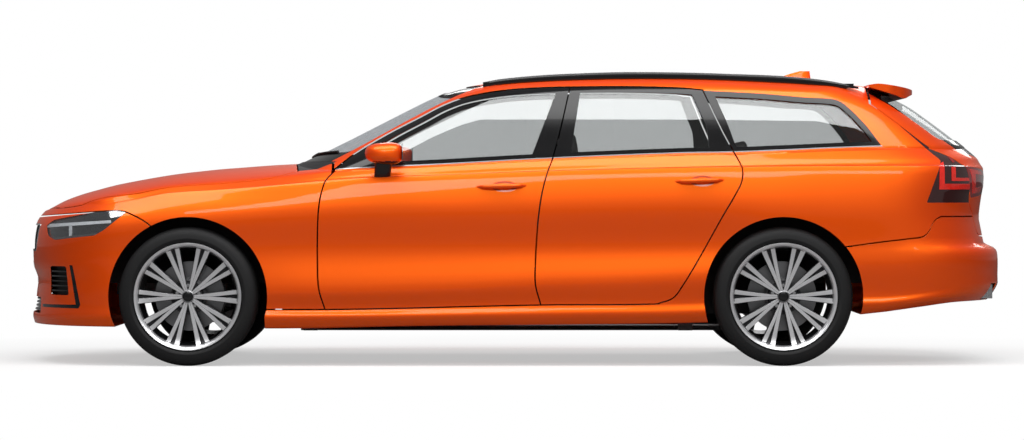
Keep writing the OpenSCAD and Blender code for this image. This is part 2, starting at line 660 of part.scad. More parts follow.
module grille() {
    color("black") one_mesh() {
        intersection() {
            difference() {
                body_solid(skin_t + seat_gap);
                body_solid(skin_t + 12);
            }
            rear_prism(fx(-2600), fx(-2100)) grille_2d(9);
        }
        for (side = [-1, 1]) on_side(side) intersection() {
            difference() {
                body_solid(skin_t + seat_gap);
                body_solid(skin_t + 12);
            }
            side_prism(560) offset(delta = 9) polygon(side_points(side_intake));
        }
    }
}
module headlamps() {
    color("lightgray") one_mesh() for (side = [-1, 1]) on_side(side) difference() {
        intersection() {
            difference() {
                body_solid(0);
                body_solid(60);
            }
            side_prism(440) head_lamp_2d(0);
        }
        hood_prism(panel_gap);
        hood_prism(-8, 700);
    }
}
module rear_bumper() {
    color("orangered") one_mesh() difference() {
        intersection() {
            skin_shell();
            translate([0, half_w + 50, 0]) side_prism(0, 2 * half_w + 100) difference() {
                polygon(side_points([[1625, 0], [1625, 583], [2002, 633], [2032, 643],
                    [2078, 715], [2096, 738], [2600, 738], [2600, 0]]));
                arches_2d();
            }
        }
        rear_prism(fx(1900), fx(2600)) tailgate_2d(panel_gap);
        for (side = [-1, 1]) on_side(side) translate([fx(2200), -fy(626), fz(320)])
            cube([400, fy(132), fz(82)]);
    }
}
module tail_lamps() {
    color("darkred") one_mesh() for (side = [-1, 1]) on_side(side) difference() {
        intersection() {
            difference() {
                body_solid(0);
                body_solid(55);
            }
            side_prism(half_w - 239) lamp_strip_2d(-seat_gap);
        }
        rear_prism(fx(1700), fx(2600)) tailgate_2d(panel_gap);
        side_prism(400) polygon(side_points([[1900, 0], [2600, 0], [2600, 740], [1900, 740]]));
    }
}

// Glass
module windscreen() {
    color("lightsteelblue") one_mesh() intersection() {
        glass_shell();
        screen_front(-seat_gap - 0.1);
    }
}
module side_pane(edges, side) {
    on_side(side) one_mesh() intersection() {
        glass_shell();
        side_prism(400) pane_2d(edges, -seat_gap);
    }
}
module quarter_windows() {
    color("lightsteelblue") for (side = [-1, 1]) side_pane(quarter_pane, side);
}
module front_glass_left() { color("lightsteelblue") side_pane(front_pane, 1); }
module front_glass_right() { color("lightsteelblue") side_pane(front_pane, -1); }
module rear_glass_left() { color("lightsteelblue") side_pane(rear_pane, 1); }
module rear_glass_right() { color("lightsteelblue") side_pane(rear_pane, -1); }
rail_top = [[-156, 1411], [-60, 1428], [150, 1447], [358, 1457], [564, 1462], [846, 1460],
    [1055, 1454], [1353, 1442], [1560, 1421], [1732, 1388]];
module roof_rails() {
    color("black") one_mesh() for (side = [-1, 1]) on_side(side) difference() {
        side_prism(fy(545), fy(575)) polygon(side_points(concat(rail_top,
            [[1732, 1370], [564, 1390], [-156, 1370]])));
        body_solid(-seat_gap);
        side_prism(0) polygon(side_points([[-20, 1405], [20, 1424], [564, 1444], [1450, 1420],
            [1600, 1395], [1600, 1360], [-20, 1360]]));
    }
}

// Doors: thin skin out to the edge, deeper box set in from it
front_hinge = [-866, 872];
rear_hinge = [207, 874];
hinge_levels = [430, 800];
box_inset = 18;
front_box = [[-848, 200], [-848, 950], [-890, 955], [-890, 1500], [300, 1500], [300, 950],
    [84, 950], [84, 200]];
rear_box = [[225, 200], [225, 950], [150, 955], [150, 1500], [1300, 1500], [1300, 200]];
module front_door(side) {
    color("orangered") on_side(side) {
        one_mesh() door_panel(front_box, front_pane) front_door_2d();
        door_knuckles(front_hinge);
    }
}
module rear_door(side) {
    color("orangered") on_side(side) {
        one_mesh() door_panel(rear_box, rear_pane) rear_door_2d();
        door_knuckles(rear_hinge);
    }
}
module door_panel(box, pane) {
    difference() {
        union() {
            intersection() {
                skin_shell();
                side_prism(300) children();
            }
            intersection() {
                difference() {
                    body_solid(1);
                    body_solid(skin_t, inner_y, frame_t);
                }
                side_prism(300) intersection() {
                    offset(delta = -box_inset) children();
                    polygon(side_points(box));
                }
            }
        }
        side_prism(300) pane_2d(pane, 0);
        slab(-1100, 1300, -768, 768, 0, 1000);
    }
}
module door_knuckles(hinge) {
    x = fx(hinge[0]);
    y = -fy(hinge[1]);
    for (level = hinge_levels) translate([x, y, fz(level)]) difference() {
        union() {
            cylinder(r = knuckle_r, h = knuckle_l, center = true);
            translate([0, -8, -knuckle_l / 2]) cube([24, 16, knuckle_l]);
        }
        cylinder(r = pin_r + pin_gap, h = 100, center = true);
    }
}
// Fixed halves of the door hinges, on the posts
module post_hinges() {
    for (hinge = [front_hinge, rear_hinge], level = hinge_levels, side = [-1, 1]) on_side(side)
        translate([fx(hinge[0]), -fy(hinge[1]), fz(level)]) {
            for (k = [-1, 1]) translate([0, 0, k * (knuckle_l + 1)]) {
                cylinder(r = knuckle_r, h = knuckle_l, center = true);
                translate([-7, 0, -knuckle_l / 2])
                    cube([14, fy(hinge[1]) - fy(post_in) - seat_gap, knuckle_l]);
            }
            cylinder(r = pin_r, h = 2 * knuckle_l, center = true);
        }
}
module front_door_left() { front_door(1); }
module front_door_right() { front_door(-1); }
module rear_door_left() { rear_door(1); }
module rear_door_right() { rear_door(-1); }

module mirror_unit(side) {
    color("orangered") on_side(side) one_mesh() difference() {
        union() {
            hull() {
                translate([fx(-668), -fy(945), fz(1056)]) sphere(r = 46, $fn = 20);
                translate([fx(-585), -fy(925), fz(1060)]) sphere(r = 46, $fn = 20);
                translate([fx(-660), -fy(985), fz(1040)]) sphere(r = 38, $fn = 20);
                translate([fx(-575), -fy(985), fz(1050)]) sphere(r = 38, $fn = 20);
            }
            hull() {
                translate([fx(-697), -fy(960), fz(1010)]) cube([80, 80, 10]);
                translate([fx(-690), -fy(940), fz(926)]) cube([70, 90, 10]);
            }
        }
        body_solid(-seat_gap);
        translate([fx(-548), -fy(1100), fz(900)]) cube([100, 400, 300]);
    }
}
module mirror_left() { mirror_unit(1); }
module mirror_right() { mirror_unit(-1); }

// Tailgate with its spoiler, window opening and moving hinge halves
tail_pane_half = [[0, 1120], [600, 1120], [575, 1230], [520, 1345], [0, 1345]];
module tail_pane_2d(grow) {
    offset(delta = grow) polygon([for (p = concat(tail_pane_half,
        [for (q = reversed(tail_pane_half)) [-q[0], q[1]]])) [fy(p[0]), fz(p[1])]]);
}
gate_lamp = [[-655, 830], [-380, 850], [-380, 965], [-690, 990], [-690, 900]];
module gate_lamp_2d(grow) {
    for (side = [-1, 1]) offset(delta = grow)
        polygon([for (p = gate_lamp) [side * fy(p[0]), fz(p[1])]]);
}
module tailgate() {
    x = fx(tail_hinge_x);
    z = fz(tail_hinge_z);
    color("orangered") {
        one_mesh() difference() {
            union() {
                intersection() {
                    skin_shell();
                    rear_prism(fx(tailgate_start + 4), fx(2600)) tailgate_2d(0);
                }
                intersection() {
                    difference() {
                        body_solid(1);
                        body_solid(frame_t);
                    }
                    rear_prism(fx(1822), fx(2600)) tailgate_2d(-26);
                }
                spoiler();
            }
            rear_prism(fx(1850), fx(2600)) tail_pane_2d(0);
            rear_prism(fx(1850), fx(2600)) gate_lamp_2d(0);
            for (side = [-1, 1]) on_side(side) translate([x - 30, -fy(tail_hinge_y) - 42, z - 30])
                cube([48, 84, 30 + fz(1397) - z + 20]);
        }
        for (side = [-1, 1]) on_side(side) difference() {
            union() {
                hinge_knuckle_y(x, -fy(tail_hinge_y), z, tail_knuckle_l, tail_knuckle_r);
                translate([x, -fy(tail_hinge_y) - 9, z - 6]) cube([34, 18, 10]);
            }
            hinge_bore_y(x, -fy(tail_hinge_y), z, pin_r - 1 + pin_gap);
        }
    }
}
module spoiler() {
    intersection() {
        side_prism(-560, 560) polygon(side_points([[1812, 1396], [1830, 1403], [1894, 1397],
            [2014, 1375], [2028, 1359], [1965, 1318], [1900, 1350], [1812, 1380]]));
        translate([0, 0, fz(1300)]) linear_extrude(200) polygon([for (p = [[1800, -560],
            [1950, -550], [2014, -480], [2030, -300], [2030, 300], [2014, 480], [1950, 550],
            [1800, 560]]) [fx(p[0]), fy(p[1])]]);
    }
}
module tailgate_glass() {
    color("lightsteelblue") one_mesh() intersection() {
        difference() {
            body_solid(glass_in);
            body_solid(glass_in + glass_t);
        }
        rear_prism(fx(1850), fx(2600)) tail_pane_2d(-seat_gap);
    }
}
module tailgate_lamps() {
    color("darkred") one_mesh() intersection() {
        difference() {
            body_solid(0);
            body_solid(frame_t - 4);
        }
        rear_prism(fx(1850), fx(2600)) gate_lamp_2d(-seat_gap);
    }
}

// Cabin
floor_z = 225;
column_tilt = 24;
steer_at = [-560, 380, 905];
module dashboard() {
    color("dimgray") {
        difference() {
            side_prism(fy(-729), fy(729)) polygon(side_points([[-1129.7, 560], [-1129.7, 895],
                [-1040, 895], [-1000, 905], [-930, 936], [-800, 915], [-740, 860],
                [-760, 700], [-820, 560]]));
            column_bore();
        }
        side_prism(-110, 110) polygon(side_points([[-810, 330.3], [-810, 559], [-500, 470],
            [0, 470], [250, 450], [250, 330.3]]));
    }
}
module column_bore() {
    translate([fx(steer_at[0]), -fy(steer_at[1]), fz(steer_at[2])]) rotate([0, -90 - column_tilt, 0])
        translate([0, 0, 60]) cylinder(r = 20.1, h = 220);
}
module steering_wheel() {
    color("black") translate([fx(steer_at[0]), -fy(steer_at[1]), fz(steer_at[2])])
        rotate([0, -90 - column_tilt, 0]) {
            rotate_extrude() translate([steer_r - 15, 0]) circle(15, $fn = 20);
            cylinder(r = 62, h = 40);
            for (a = [0, 90, 270]) rotate([0, 0, a]) translate([50, -16, 6])
                cube([steer_r - 72, 32, 12]);
            translate([0, 0, 39]) cylinder(r = 20, h = 200);
        }
}
module front_seats() {
    color("black") for (side = [-1, 1]) on_side(side) translate([0, -fy(380), 0]) {
        side_prism(-seat_w / 2, seat_w / 2) offset(r = 20) offset(delta = -20)
            polygon(side_points([[-410, 350], [-430, 430], [-390, 505], [-200, 490], [40, 490],
                [80, 470], [110, 350]]));
        side_prism(-seat_w / 2 + 20, seat_w / 2 - 20) polygon(side_points([[104, 360],
            [74, 470], [82, 560], [190, 900], [215, 1020], [270, 1050], [310, 1030], [320, 960],
            [270, 700], [215, 400]]));
        side_prism(-130, 130) polygon(side_points([[236, 1035], [225, 1090], [250, 1150],
            [310, 1160], [335, 1120], [322, 1060], [310, 1015]]));
        for (k = [-1, 1]) translate([fx(-330), k * 170 - 20, floor_z])
            cube([fx(80) - fx(-330), 40, fz(350) - floor_z]);
    }
}
module rear_bench() {
    color("black") difference() {
        union() {
            side_prism(-fy(640), fy(640)) polygon(side_points([[560, 420.3], [530, 460],
                [545, 520], [800, 500], [972, 500], [979.5, 470], [979.5, 420.3]]));
            side_prism(-fy(640), fy(640)) polygon(side_points([[1002, 545.3], [985, 600],
                [1010, 700], [1085, 960], [1120, 1012], [1180, 1012], [1190, 960],
                [1120, 545.3]]));
            for (y = [-420, 0, 420]) translate([0, fy(y), 0]) side_prism(-120, 120)
                polygon(side_points([[1110, 1010], [1120, 1100], [1150, 1125],
                    [1190, 1100], [1185, 1010]]));
        }
        for (side = [-1, 1]) on_side(side) side_prism(liner_in_y - 12, half_w)
            arch_2d(rear_x, liner_r + liner_t + seat_gap);
    }
}

// Power and running gear
module engine() {
    color("slategray") {
        slab(-2020, -1500, -300, 300, 340, 820);
        both(-1820, -1700, 300, rail_y - 40.4, 430, 480);
    }
}
king_y = wheel_y - 90;
arm_z = tyre_r - 130;
module front_subframe() {
    color("dimgray") {
        difference() {
            union() {
                translate([front_x - 150, -fy(430), arm_z - 12]) cube([300, 2 * fy(430), 50]);
                for (side = [-1, 1]) on_side(side) {
                    translate([front_x - 20, -king_y, arm_z - 12]) cube([40, king_y - fy(420), 24]);
                    translate([front_x, -king_y, arm_z - 12]) cylinder(r = 22, h = 24);
                }
            }
            for (side = [-1, 1]) on_side(side) translate([front_x, -king_y, 0])
                cylinder(r = 9 + pin_gap, h = 600);
        }
        for (side = [-1, 1], x = [front_x - 140, front_x + 120]) on_side(side)
            translate([x, -fy(430), arm_z + 38]) cube([20, 40, fz(400) - arm_z - 38]);
        for (side = [-1, 1]) on_side(side) difference() {
            union() {
                translate([front_x - 18, -king_y, upper_z]) cube([36, king_y - fy(470) - seat_gap, 22]);
                translate([front_x, -king_y, upper_z]) cylinder(r = 22, h = 22);
            }
            translate([front_x, -king_y, 0]) cylinder(r = 9 + pin_gap, h = 600);
        }
    }
}
upper_z = tyre_r + 115;
module steer_knuckle(side) {
    color("gray") on_side(side) {
        translate([front_x, -king_y, arm_z + 13]) cylinder(r = 20, h = upper_z - arm_z - 14);
        translate([front_x, -king_y, arm_z - 12]) cylinder(r = 9, h = upper_z - arm_z + 34);
        translate([front_x, -king_y, tyre_r]) rotate([90, 0, 0]) cylinder(r = 55, h = 35);
        translate([front_x, -king_y, tyre_r]) rotate([90, 0, 0])
            cylinder(r = hub_r, h = hub_out);
        translate([front_x + 100, -king_y - 25, tyre_r - 50]) cube([75, 14, 100]);
        translate([front_x + 30, -king_y - 25, tyre_r - 25]) cube([80, 14, 50]);
    }
}
disc_in = 48;
hub_out = 100;
module knuckle_left() { steer_knuckle(1); }
module knuckle_right() { steer_knuckle(-1); }
module rear_axle() {
    color("dimgray") {
        translate([rear_x - 50, -king_y + 20, tyre_r - 40]) cube([100, 2 * king_y - 40, 50]);
        for (side = [-1, 1]) on_side(side) {
            translate([rear_x, -king_y + 22, tyre_r]) rotate([90, 0, 0]) cylinder(r = 55, h = 57);
            translate([rear_x, -king_y, tyre_r]) rotate([90, 0, 0]) cylinder(r = hub_r, h = hub_out);
            translate([rear_x - 20, -fy(520), tyre_r + 9]) cube([40, 40, fz(400) - tyre_r - 9]);
        }
    }
}
module exhaust() {
    color("gray") {
        translate([fx(-1100), 0, fz(174.7)]) rotate([0, 90, 0]) cylinder(r = 30, h = fx(1150) - fx(-1100));
        translate([fx(2020), 0, fz(439.6)]) rotate([90, 0, 0]) cylinder(r = 85, h = 2 * fy(380), center = true);
        for (side = [-1, 1]) on_side(side) {
            translate([fx(2020), -fy(380) + 1, fz(369)]) rotate([90, 0, 0]) cylinder(r = 28, h = fy(178));
            difference() {
                translate([fx(1990), -fy(620), fz(326)]) cube([fx(2396) - fx(1990), fy(120), fz(70)]);
                translate([fx(2060), -fy(620) + 4, fz(326) + 4])
                    cube([fx(2500) - fx(2060), fy(120) - 8, fz(70) - 8]);
            }
        }
    }
}
module fuel_tank() {
    color("black") slab(815, 1190, -450, 450, 245, 399.7);
}

// Wheels: axis along Y through the middle of the tread, outer face toward -Y
module tyre_shape() {
    w = tyre_w / 2;
    r = tyre_r;
    color([0.06, 0.06, 0.06]) rotate([90, 0, 0]) rotate_extrude($fn = 96) polygon([
        [rim_r, -w + 22], [rim_r + 12, -w + 6], [rim_r + 35, -w], [r - 30, -w + 4],
        [r - 10, -w + 16], [r, -w + 38], [r, w - 38], [r - 10, w - 16], [r - 30, w - 4],
        [rim_r + 35, w], [rim_r + 12, w - 6], [rim_r, w - 22]]);
}
spoke_pairs = 5;
rim_t = 12;
module rim_shape() {
    w = tyre_w / 2 - 22;
    color("silver") rotate([90, 0, 0]) difference() {
        union() {
            rotate_extrude($fn = 96) polygon([[rim_r - rim_t, -w], [rim_r - bead_gap, -w],
                [rim_r - bead_gap, w], [rim_r - rim_t, w]]);
            for (i = [0:spoke_pairs - 1], k = [-1, 1]) rotate([0, 0, 54 + i * 360 / spoke_pairs])
                translate([0, 0, spoke_z]) linear_extrude(spoke_t) polygon([[66, k * 6],
                    [66, k * 28], [rim_r - 26, k * 98], [rim_r - 26, k * 62]]);
            translate([0, 0, disc_z]) cylinder(r = disc_r, h = 22);
            translate([0, 0, disc_z]) cylinder(r = hub_disc_r, h = spoke_z - disc_z + spoke_t);
        }
        cylinder(r = hub_r + pin_gap, h = 500, center = true);
        for (i = [0:4]) rotate([0, 0, i * 72 + 90]) translate([bolt_circle / 2, 0, spoke_z + 10])
            cylinder(r = 9, h = 60);
    }
}
bead_gap = 0.5;
hub_disc_r = 78;
spoke_t = 34;
spoke_z = tyre_w / 2 - 60;
disc_z = -90 + disc_in;
module at_wheel(x, side) { on_side(side) translate([x, -wheel_y, tyre_r]) children(); }
module tyre_front_left() { at_wheel(front_x, 1) tyre_shape(); }
module tyre_front_right() { at_wheel(front_x, -1) tyre_shape(); }
module tyre_rear_left() { at_wheel(rear_x, 1) tyre_shape(); }
module tyre_rear_right() { at_wheel(rear_x, -1) tyre_shape(); }
module rim_front_left() { at_wheel(front_x, 1) rim_shape(); }
module rim_front_right() { at_wheel(front_x, -1) rim_shape(); }
module rim_rear_left() { at_wheel(rear_x, 1) rim_shape(); }
module rim_rear_right() { at_wheel(rear_x, -1) rim_shape(); }

floor_pan();
front_rails();
body_side_left();
body_side_right();
roof_panel();
front_fenders();
front_bumper();
rear_bumper();
grille();
headlamps();
tail_lamps();
cowl();
windscreen();
quarter_windows();
roof_rails();
dashboard();
front_seats();
rear_bench();
engine();
front_subframe();
rear_axle();
exhaust();
fuel_tank();
hood();
front_door_left();
front_door_right();
front_glass_left();
front_glass_right();
mirror_left();
mirror_right();
rear_door_left();
rear_door_right();
rear_glass_left();
rear_glass_right();
tailgate();
tailgate_glass();
tailgate_lamps();
steering_wheel();
knuckle_left();
knuckle_right();
tyre_front_left();
tyre_front_right();
tyre_rear_left();
tyre_rear_right();
rim_front_left();
rim_front_right();
rim_rear_left();
rim_rear_right();
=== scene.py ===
"""Looks of the five-door station wagon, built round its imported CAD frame.

Shapes are worked out in millimetres in the shared frame and scaled to metres when a mesh is made.
"""
import json
import math

import bmesh
import bpy
import numpy as np
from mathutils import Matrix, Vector
from mathutils.bvhtree import BVHTree

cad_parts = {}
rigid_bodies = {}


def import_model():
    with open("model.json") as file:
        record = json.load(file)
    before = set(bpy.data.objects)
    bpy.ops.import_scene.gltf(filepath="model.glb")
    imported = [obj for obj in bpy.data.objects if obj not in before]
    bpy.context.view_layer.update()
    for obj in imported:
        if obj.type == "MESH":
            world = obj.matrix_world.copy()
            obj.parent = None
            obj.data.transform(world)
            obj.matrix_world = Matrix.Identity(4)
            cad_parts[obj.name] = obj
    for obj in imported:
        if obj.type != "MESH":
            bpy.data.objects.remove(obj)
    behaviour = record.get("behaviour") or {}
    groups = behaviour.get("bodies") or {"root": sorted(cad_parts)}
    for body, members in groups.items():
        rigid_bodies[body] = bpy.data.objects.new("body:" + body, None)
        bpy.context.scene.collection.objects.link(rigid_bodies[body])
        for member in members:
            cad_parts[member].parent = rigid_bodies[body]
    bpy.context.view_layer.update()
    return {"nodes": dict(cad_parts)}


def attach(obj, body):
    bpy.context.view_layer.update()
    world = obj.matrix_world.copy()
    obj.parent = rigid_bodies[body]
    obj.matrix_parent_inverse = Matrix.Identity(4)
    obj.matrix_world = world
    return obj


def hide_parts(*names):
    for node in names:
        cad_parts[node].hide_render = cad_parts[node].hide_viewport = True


for old in list(bpy.data.objects):
    bpy.data.objects.remove(old)
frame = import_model()
scene = bpy.context.scene
MM = 0.001

# ---------------------------------------------------------------- camera
cam_data = bpy.data.cameras.new("camera")
cam_data.lens = 135.6
cam_data.sensor_width = 36.0
cam_data.shift_y = -0.0275
cam_data.clip_end = 200.0
camera = bpy.data.objects.new("camera", cam_data)
camera.location = (-0.010, -19.940, 0.860)
camera.rotation_euler = (math.pi / 2, 0, 0)
scene.collection.objects.link(camera)
scene.camera = camera

# ---------------------------------------------------------------- body lines, as in the CAD source
FRONT_X, REAR_X, HALF_W = -1610.0, 1330.0, 940.0
TYRE_R, TYRE_W, RIM_R, WHEEL_Y = 343.0, 255.0, 254.0, 808.5
SKIN, GAP, DOOR_IN = 5.0, 7.0, 810.0

SILL_Z = [(-2470, 195), (-1985, 193), (-1150, 185), (-450, 198), (300, 205), (950, 215),
          (1400, 235), (1716, 259), (1935, 291), (2130, 313), (2470, 318)]
SILL_Y = [(-2470, 840), (-1985, 880), (-1150, 890), (1400, 890), (2000, 870), (2470, 850)]
CREST_Z = [(-2470, 238), (-1985, 240), (-1150, 239), (300, 254), (950, 264), (1716, 310),
           (2130, 352), (2470, 362)]
CREST_Y = [(-2470, 860), (-1985, 905), (-1150, 925), (950, 925), (1716, 915), (2470, 880)]
FOOT_Z = [(-2470, 300), (-1985, 290), (-930, 283), (120, 305), (700, 310), (1716, 350),
          (2130, 402), (2470, 420)]
FOOT_Y = [(-2470, 870), (-1985, 905), (-1150, 915), (1330, 915), (2470, 885)]
LOW_Z = [(-2470, 380), (-1985, 375), (-930, 367), (-360, 383), (110, 406), (820, 431),
         (1716, 500), (2470, 548)]
LOW_Y = [(-2470, 880), (-1985, 910), (-1150, 935), (-930, 938), (820, 938), (1330, 936),
         (2000, 915), (2470, 895)]
HOLLOW_Z = [(-2470, 500), (-1950, 560), (-930, 570), (900, 590), (1716, 600), (2470, 604)]
HOLLOW_Y = [(-2470, 880), (-1950, 910), (-1610, 922), (-1100, 915), (0, 914), (900, 916),
            (1330, 930), (1800, 918), (2470, 885)]
BULGE_Z = [(-2470, 640), (-1950, 720), (-1100, 770), (0, 780), (900, 795), (1716, 790),
           (2470, 745)]
BULGE_Y = [(-2470, 875), (-2000, 905), (-1610, 928), (-1100, 925), (0, 930), (900, 934),
           (1330, 936), (1800, 915), (2300, 870), (2470, 855)]
SHOULDER_Z = [(-2470, 728), (-2200, 772), (-1870, 822), (-1729, 851), (-1440, 871),
              (-1245, 886), (-1000, 908), (-740, 928), (-365, 941), (180, 961), (820, 976),
              (1120, 981), (1900, 986), (2470, 980)]
SHOULDER_Y = [(-2470, 820), (-1900, 845), (-1610, 870), (-1100, 885), (0, 900), (1000, 905),
              (1500, 900), (2000, 870), (2300, 840), (2470, 825)]
BELT_Z = [(-2470, 760), (-2374, 774), (-2200, 800), (-2000, 832), (-1870, 852), (-1729, 879),
          (-1440, 901), (-1245, 919), (-1050, 941), (-887, 961), (-366, 987), (181, 1017),
          (821, 1043), (1098, 1048), (1634, 1071), (1780, 1076), (2470, 1090)]
FENDER_Y = [(-2470, 790), (-2200, 812), (-1900, 815), (-1610, 833), (-1229, 830), (-1050, 825),
            (-887, 824)]
UNDERCUT = [(-1200, 1), (-900, 11), (2000, 11), (2300, 1)]
CABIN_SIDE = [(880, 884), (960, 869), (1010, 854), (1100, 815), (1200, 770), (1300, 718),
              (1380, 668), (1420, 636), (1470, 585)]
CABIN_TAPER = [(-900, 44), (-500, 15), (0, 0), (900, 2), (1400, 20), (1800, 48), (2100, 85),
               (2400, 120)]
NOSE_X = [(195, -2462), (233, -2470), (297, -2456), (360, -2448), (425, -2442), (487, -2464),
          (592, -2468), (644, -2464), (697, -2453), (730, -2437), (774, -2395), (800, -2350)]
TAIL_X = [(250, 2300), (300, 2400), (387, 2466), (434, 2470), (549, 2468), (577, 2452),
          (600, 2403), (618, 2396), (673, 2386), (730, 2376), (831, 2388), (894, 2400),
          (976, 2400), (1003, 2385), (1034, 2367), (1101, 2290), (1231, 2120), (1313, 1995),
          (1400, 1790), (1470, 1600)]
SCREEN_X = [(900, -1320), (940, -1240), (1002, -1104), (1110, -880), (1216, -672),
            (1323, -460), (1372, -349), (1430, -200), (1500, -20)]
HOOD_Z = [(-2400, 765), (-2374, 774), (-2289, 819), (-2205, 850), (-2131, 871), (-2026, 898),
          (-1920, 919), (-1814, 938), (-1709, 954), (-1604, 966), (-1499, 977), (-1393, 985),
          (-1235, 997), (-1121, 1003), (-1060, 1007), (-960, 1012), (-880, 1014)]
ROOF_Z = [(-760, 1376), (-340, 1376), (-275, 1393), (-100, 1423), (100, 1440), (400, 1452),
          (700, 1455), (1000, 1450), (1300, 1437), (1600, 1419), (1800, 1402), (1900, 1392),
          (2500, 1330)]


def curve(points, x):
    """Smooth curve through (x, y) points, held level past its ends."""
    p = np.asarray(points, float)
    xs, ys = p[:, 0], p[:, 1]
    n = len(xs)
    lo, hi = np.maximum(np.arange(n) - 1, 0), np.minimum(np.arange(n) + 1, n - 1)
    m = (ys[hi] - ys[lo]) / (xs[hi] - xs[lo])
    x = np.asarray(x, float)
    i = np.clip(np.searchsorted(xs, x, side="right") - 1, 0, n - 2)
    h = xs[i + 1] - xs[i]
    t = np.clip((x - xs[i]) / h, 0, 1)
    return (ys[i] * (1 + 2 * t) * (1 - t) ** 2 + m[i] * h * t * (1 - t) ** 2
            + ys[i + 1] * t * t * (3 - 2 * t) + m[i + 1] * h * t * t * (t - 1))


def mix(a, b, t):
    return a + (b - a) * t


def refine(points, n):
    """The same polyline as a smooth curve, with n steps to each of its segments."""
    p = np.asarray(points, float)
    d = np.linalg.norm(np.diff(p, axis=0), axis=1)
    t = np.concatenate([[0], np.cumsum(np.maximum(d, 1e-3))])
    steps = [np.linspace(t[i], t[i + 1], n, endpoint=False) for i in range(len(t) - 1)]
    at = np.concatenate(steps + [[t[-1]]])
    return np.stack([curve(np.stack([t, p[:, k]], 1), at) for k in range(p.shape[1])], 1)


def cabin_y(x, z):
    return curve(CABIN_SIDE, z) - curve(CABIN_TAPER, x)


def belt_y(x):
    return np.where(x < -887, curve(FENDER_Y, x), cabin_y(x, curve(BELT_Z, x)))


def row_zy(x):
    """Heights and half-widths of the ten lines along the lower body at x."""
    sz, bz, sy, by = curve(SHOULDER_Z, x), curve(BELT_Z, x), curve(SHOULDER_Y, x), belt_y(x)
    uc = curve(UNDERCUT, x)
    z = [curve(c, x) for c in (SILL_Z, CREST_Z, FOOT_Z, LOW_Z, HOLLOW_Z, BULGE_Z)] + [sz]
    y = [curve(c, x) for c in (SILL_Y, CREST_Y, FOOT_Y, LOW_Y, HOLLOW_Y, BULGE_Y)] + [sy]
    for share, cut in ((0.08, 1), (0.45, 0.5), (1, 0)):
        z.append(mix(sz, bz, share))
        y.append(mix(sy, by, share) - uc * cut)
    return np.array(z), np.array(y)


NOSE_ANGLES = np.radians(np.linspace(87.5, 2.5, 30))
TAIL_ANGLES = np.radians(np.linspace(0, 87.5, 28))
SIDE_X = np.linspace(-1950, 1560, 72)


def low_grid(e, flat=2000.0):
    """Lower body set in by e, left side, as stations of points from the sill up to the middle."""
    rows = []
    specs = ([("nose", a) for a in NOSE_ANGLES] + [("side", x) for x in SIDE_X]
             + [("tail", a) for a in TAIL_ANGLES])
    for kind, v in specs:
        if kind == "nose":
            x0 = mix(-1950.0, -2470.0, math.sin(v) ** (2 / 2.2))
        elif kind == "side":
            x0 = v
        else:
            x0 = mix(1800.0 - 140.0 * math.cos(v), 2400.0, math.sin(v) ** (2 / 3.2))
        z, y = row_zy(x0)
        zy = refine(np.stack([z, y], 1), 5)
        z, w = zy[:, 0].copy(), np.minimum(zy[:, 1] - e, flat)
        z[0] += e
        z[-1] -= e
        if kind == "nose":
            t = math.sin(v) ** (2 / 2.2)
            x = -1950.0 - (-1950.0 - curve(NOSE_X, z) - e) * t
            yy = w * math.cos(v) ** (2 / 2.2)
        elif kind == "side":
            x, yy = np.full_like(z, v), w
        else:
            tip = curve(TAIL_X, z)
            x = tip - 600.0 + (600.0 - e) * math.sin(v) ** (2 / 3.2)
            yy = w * math.cos(v) ** (2 / 2.8)
        pts = np.stack([x, -yy, z], 1)
        b = pts[-1]
        top = curve(HOOD_Z, b[0]) - e if b[0] < -900 else b[2]
        shares = 1 - np.linspace(0.1, 1, 17) ** 1.7 * 0.985
        cap = np.stack([np.full(17, b[0]), b[1] * shares,
                        b[2] + max(0.0, float(top - b[2])) * (1 - shares ** 2.5) ** 0.7], 1)
        rows.append(np.concatenate([pts, cap]))
    return np.array(rows)


def crown(y):
    return 30 * (y / 600) ** 2 + 40 * (np.maximum(0, np.abs(y) - 540) / 140) ** 2


HIGH_FRONT = np.radians(np.linspace(87.5, 0, 26))
HIGH_SIDE = np.linspace(0.02, 0.98, 40)
HIGH_TAIL = np.radians(np.linspace(0, 87.5, 28))


def high_station(kind, v, z, e, fold):
    front, back = curve(SCREEN_X, z) + 460.0, curve(TAIL_X, z) - 600.0
    if kind == "front":
        x = front - (460.0 - e) * math.sin(v) ** (2 / 2.45)
        share = math.cos(v) ** (2 / 3)
    elif kind == "side":
        x, share = mix(front, back, v), 1.0
    else:
        x = back + (600.0 - e - fold) * math.sin(v) ** (2 / 3.4)
        share = math.cos(v) ** (2 / 3)
    return np.stack([x, -(cabin_y(x, z) - e - fold) * share, z], 1)


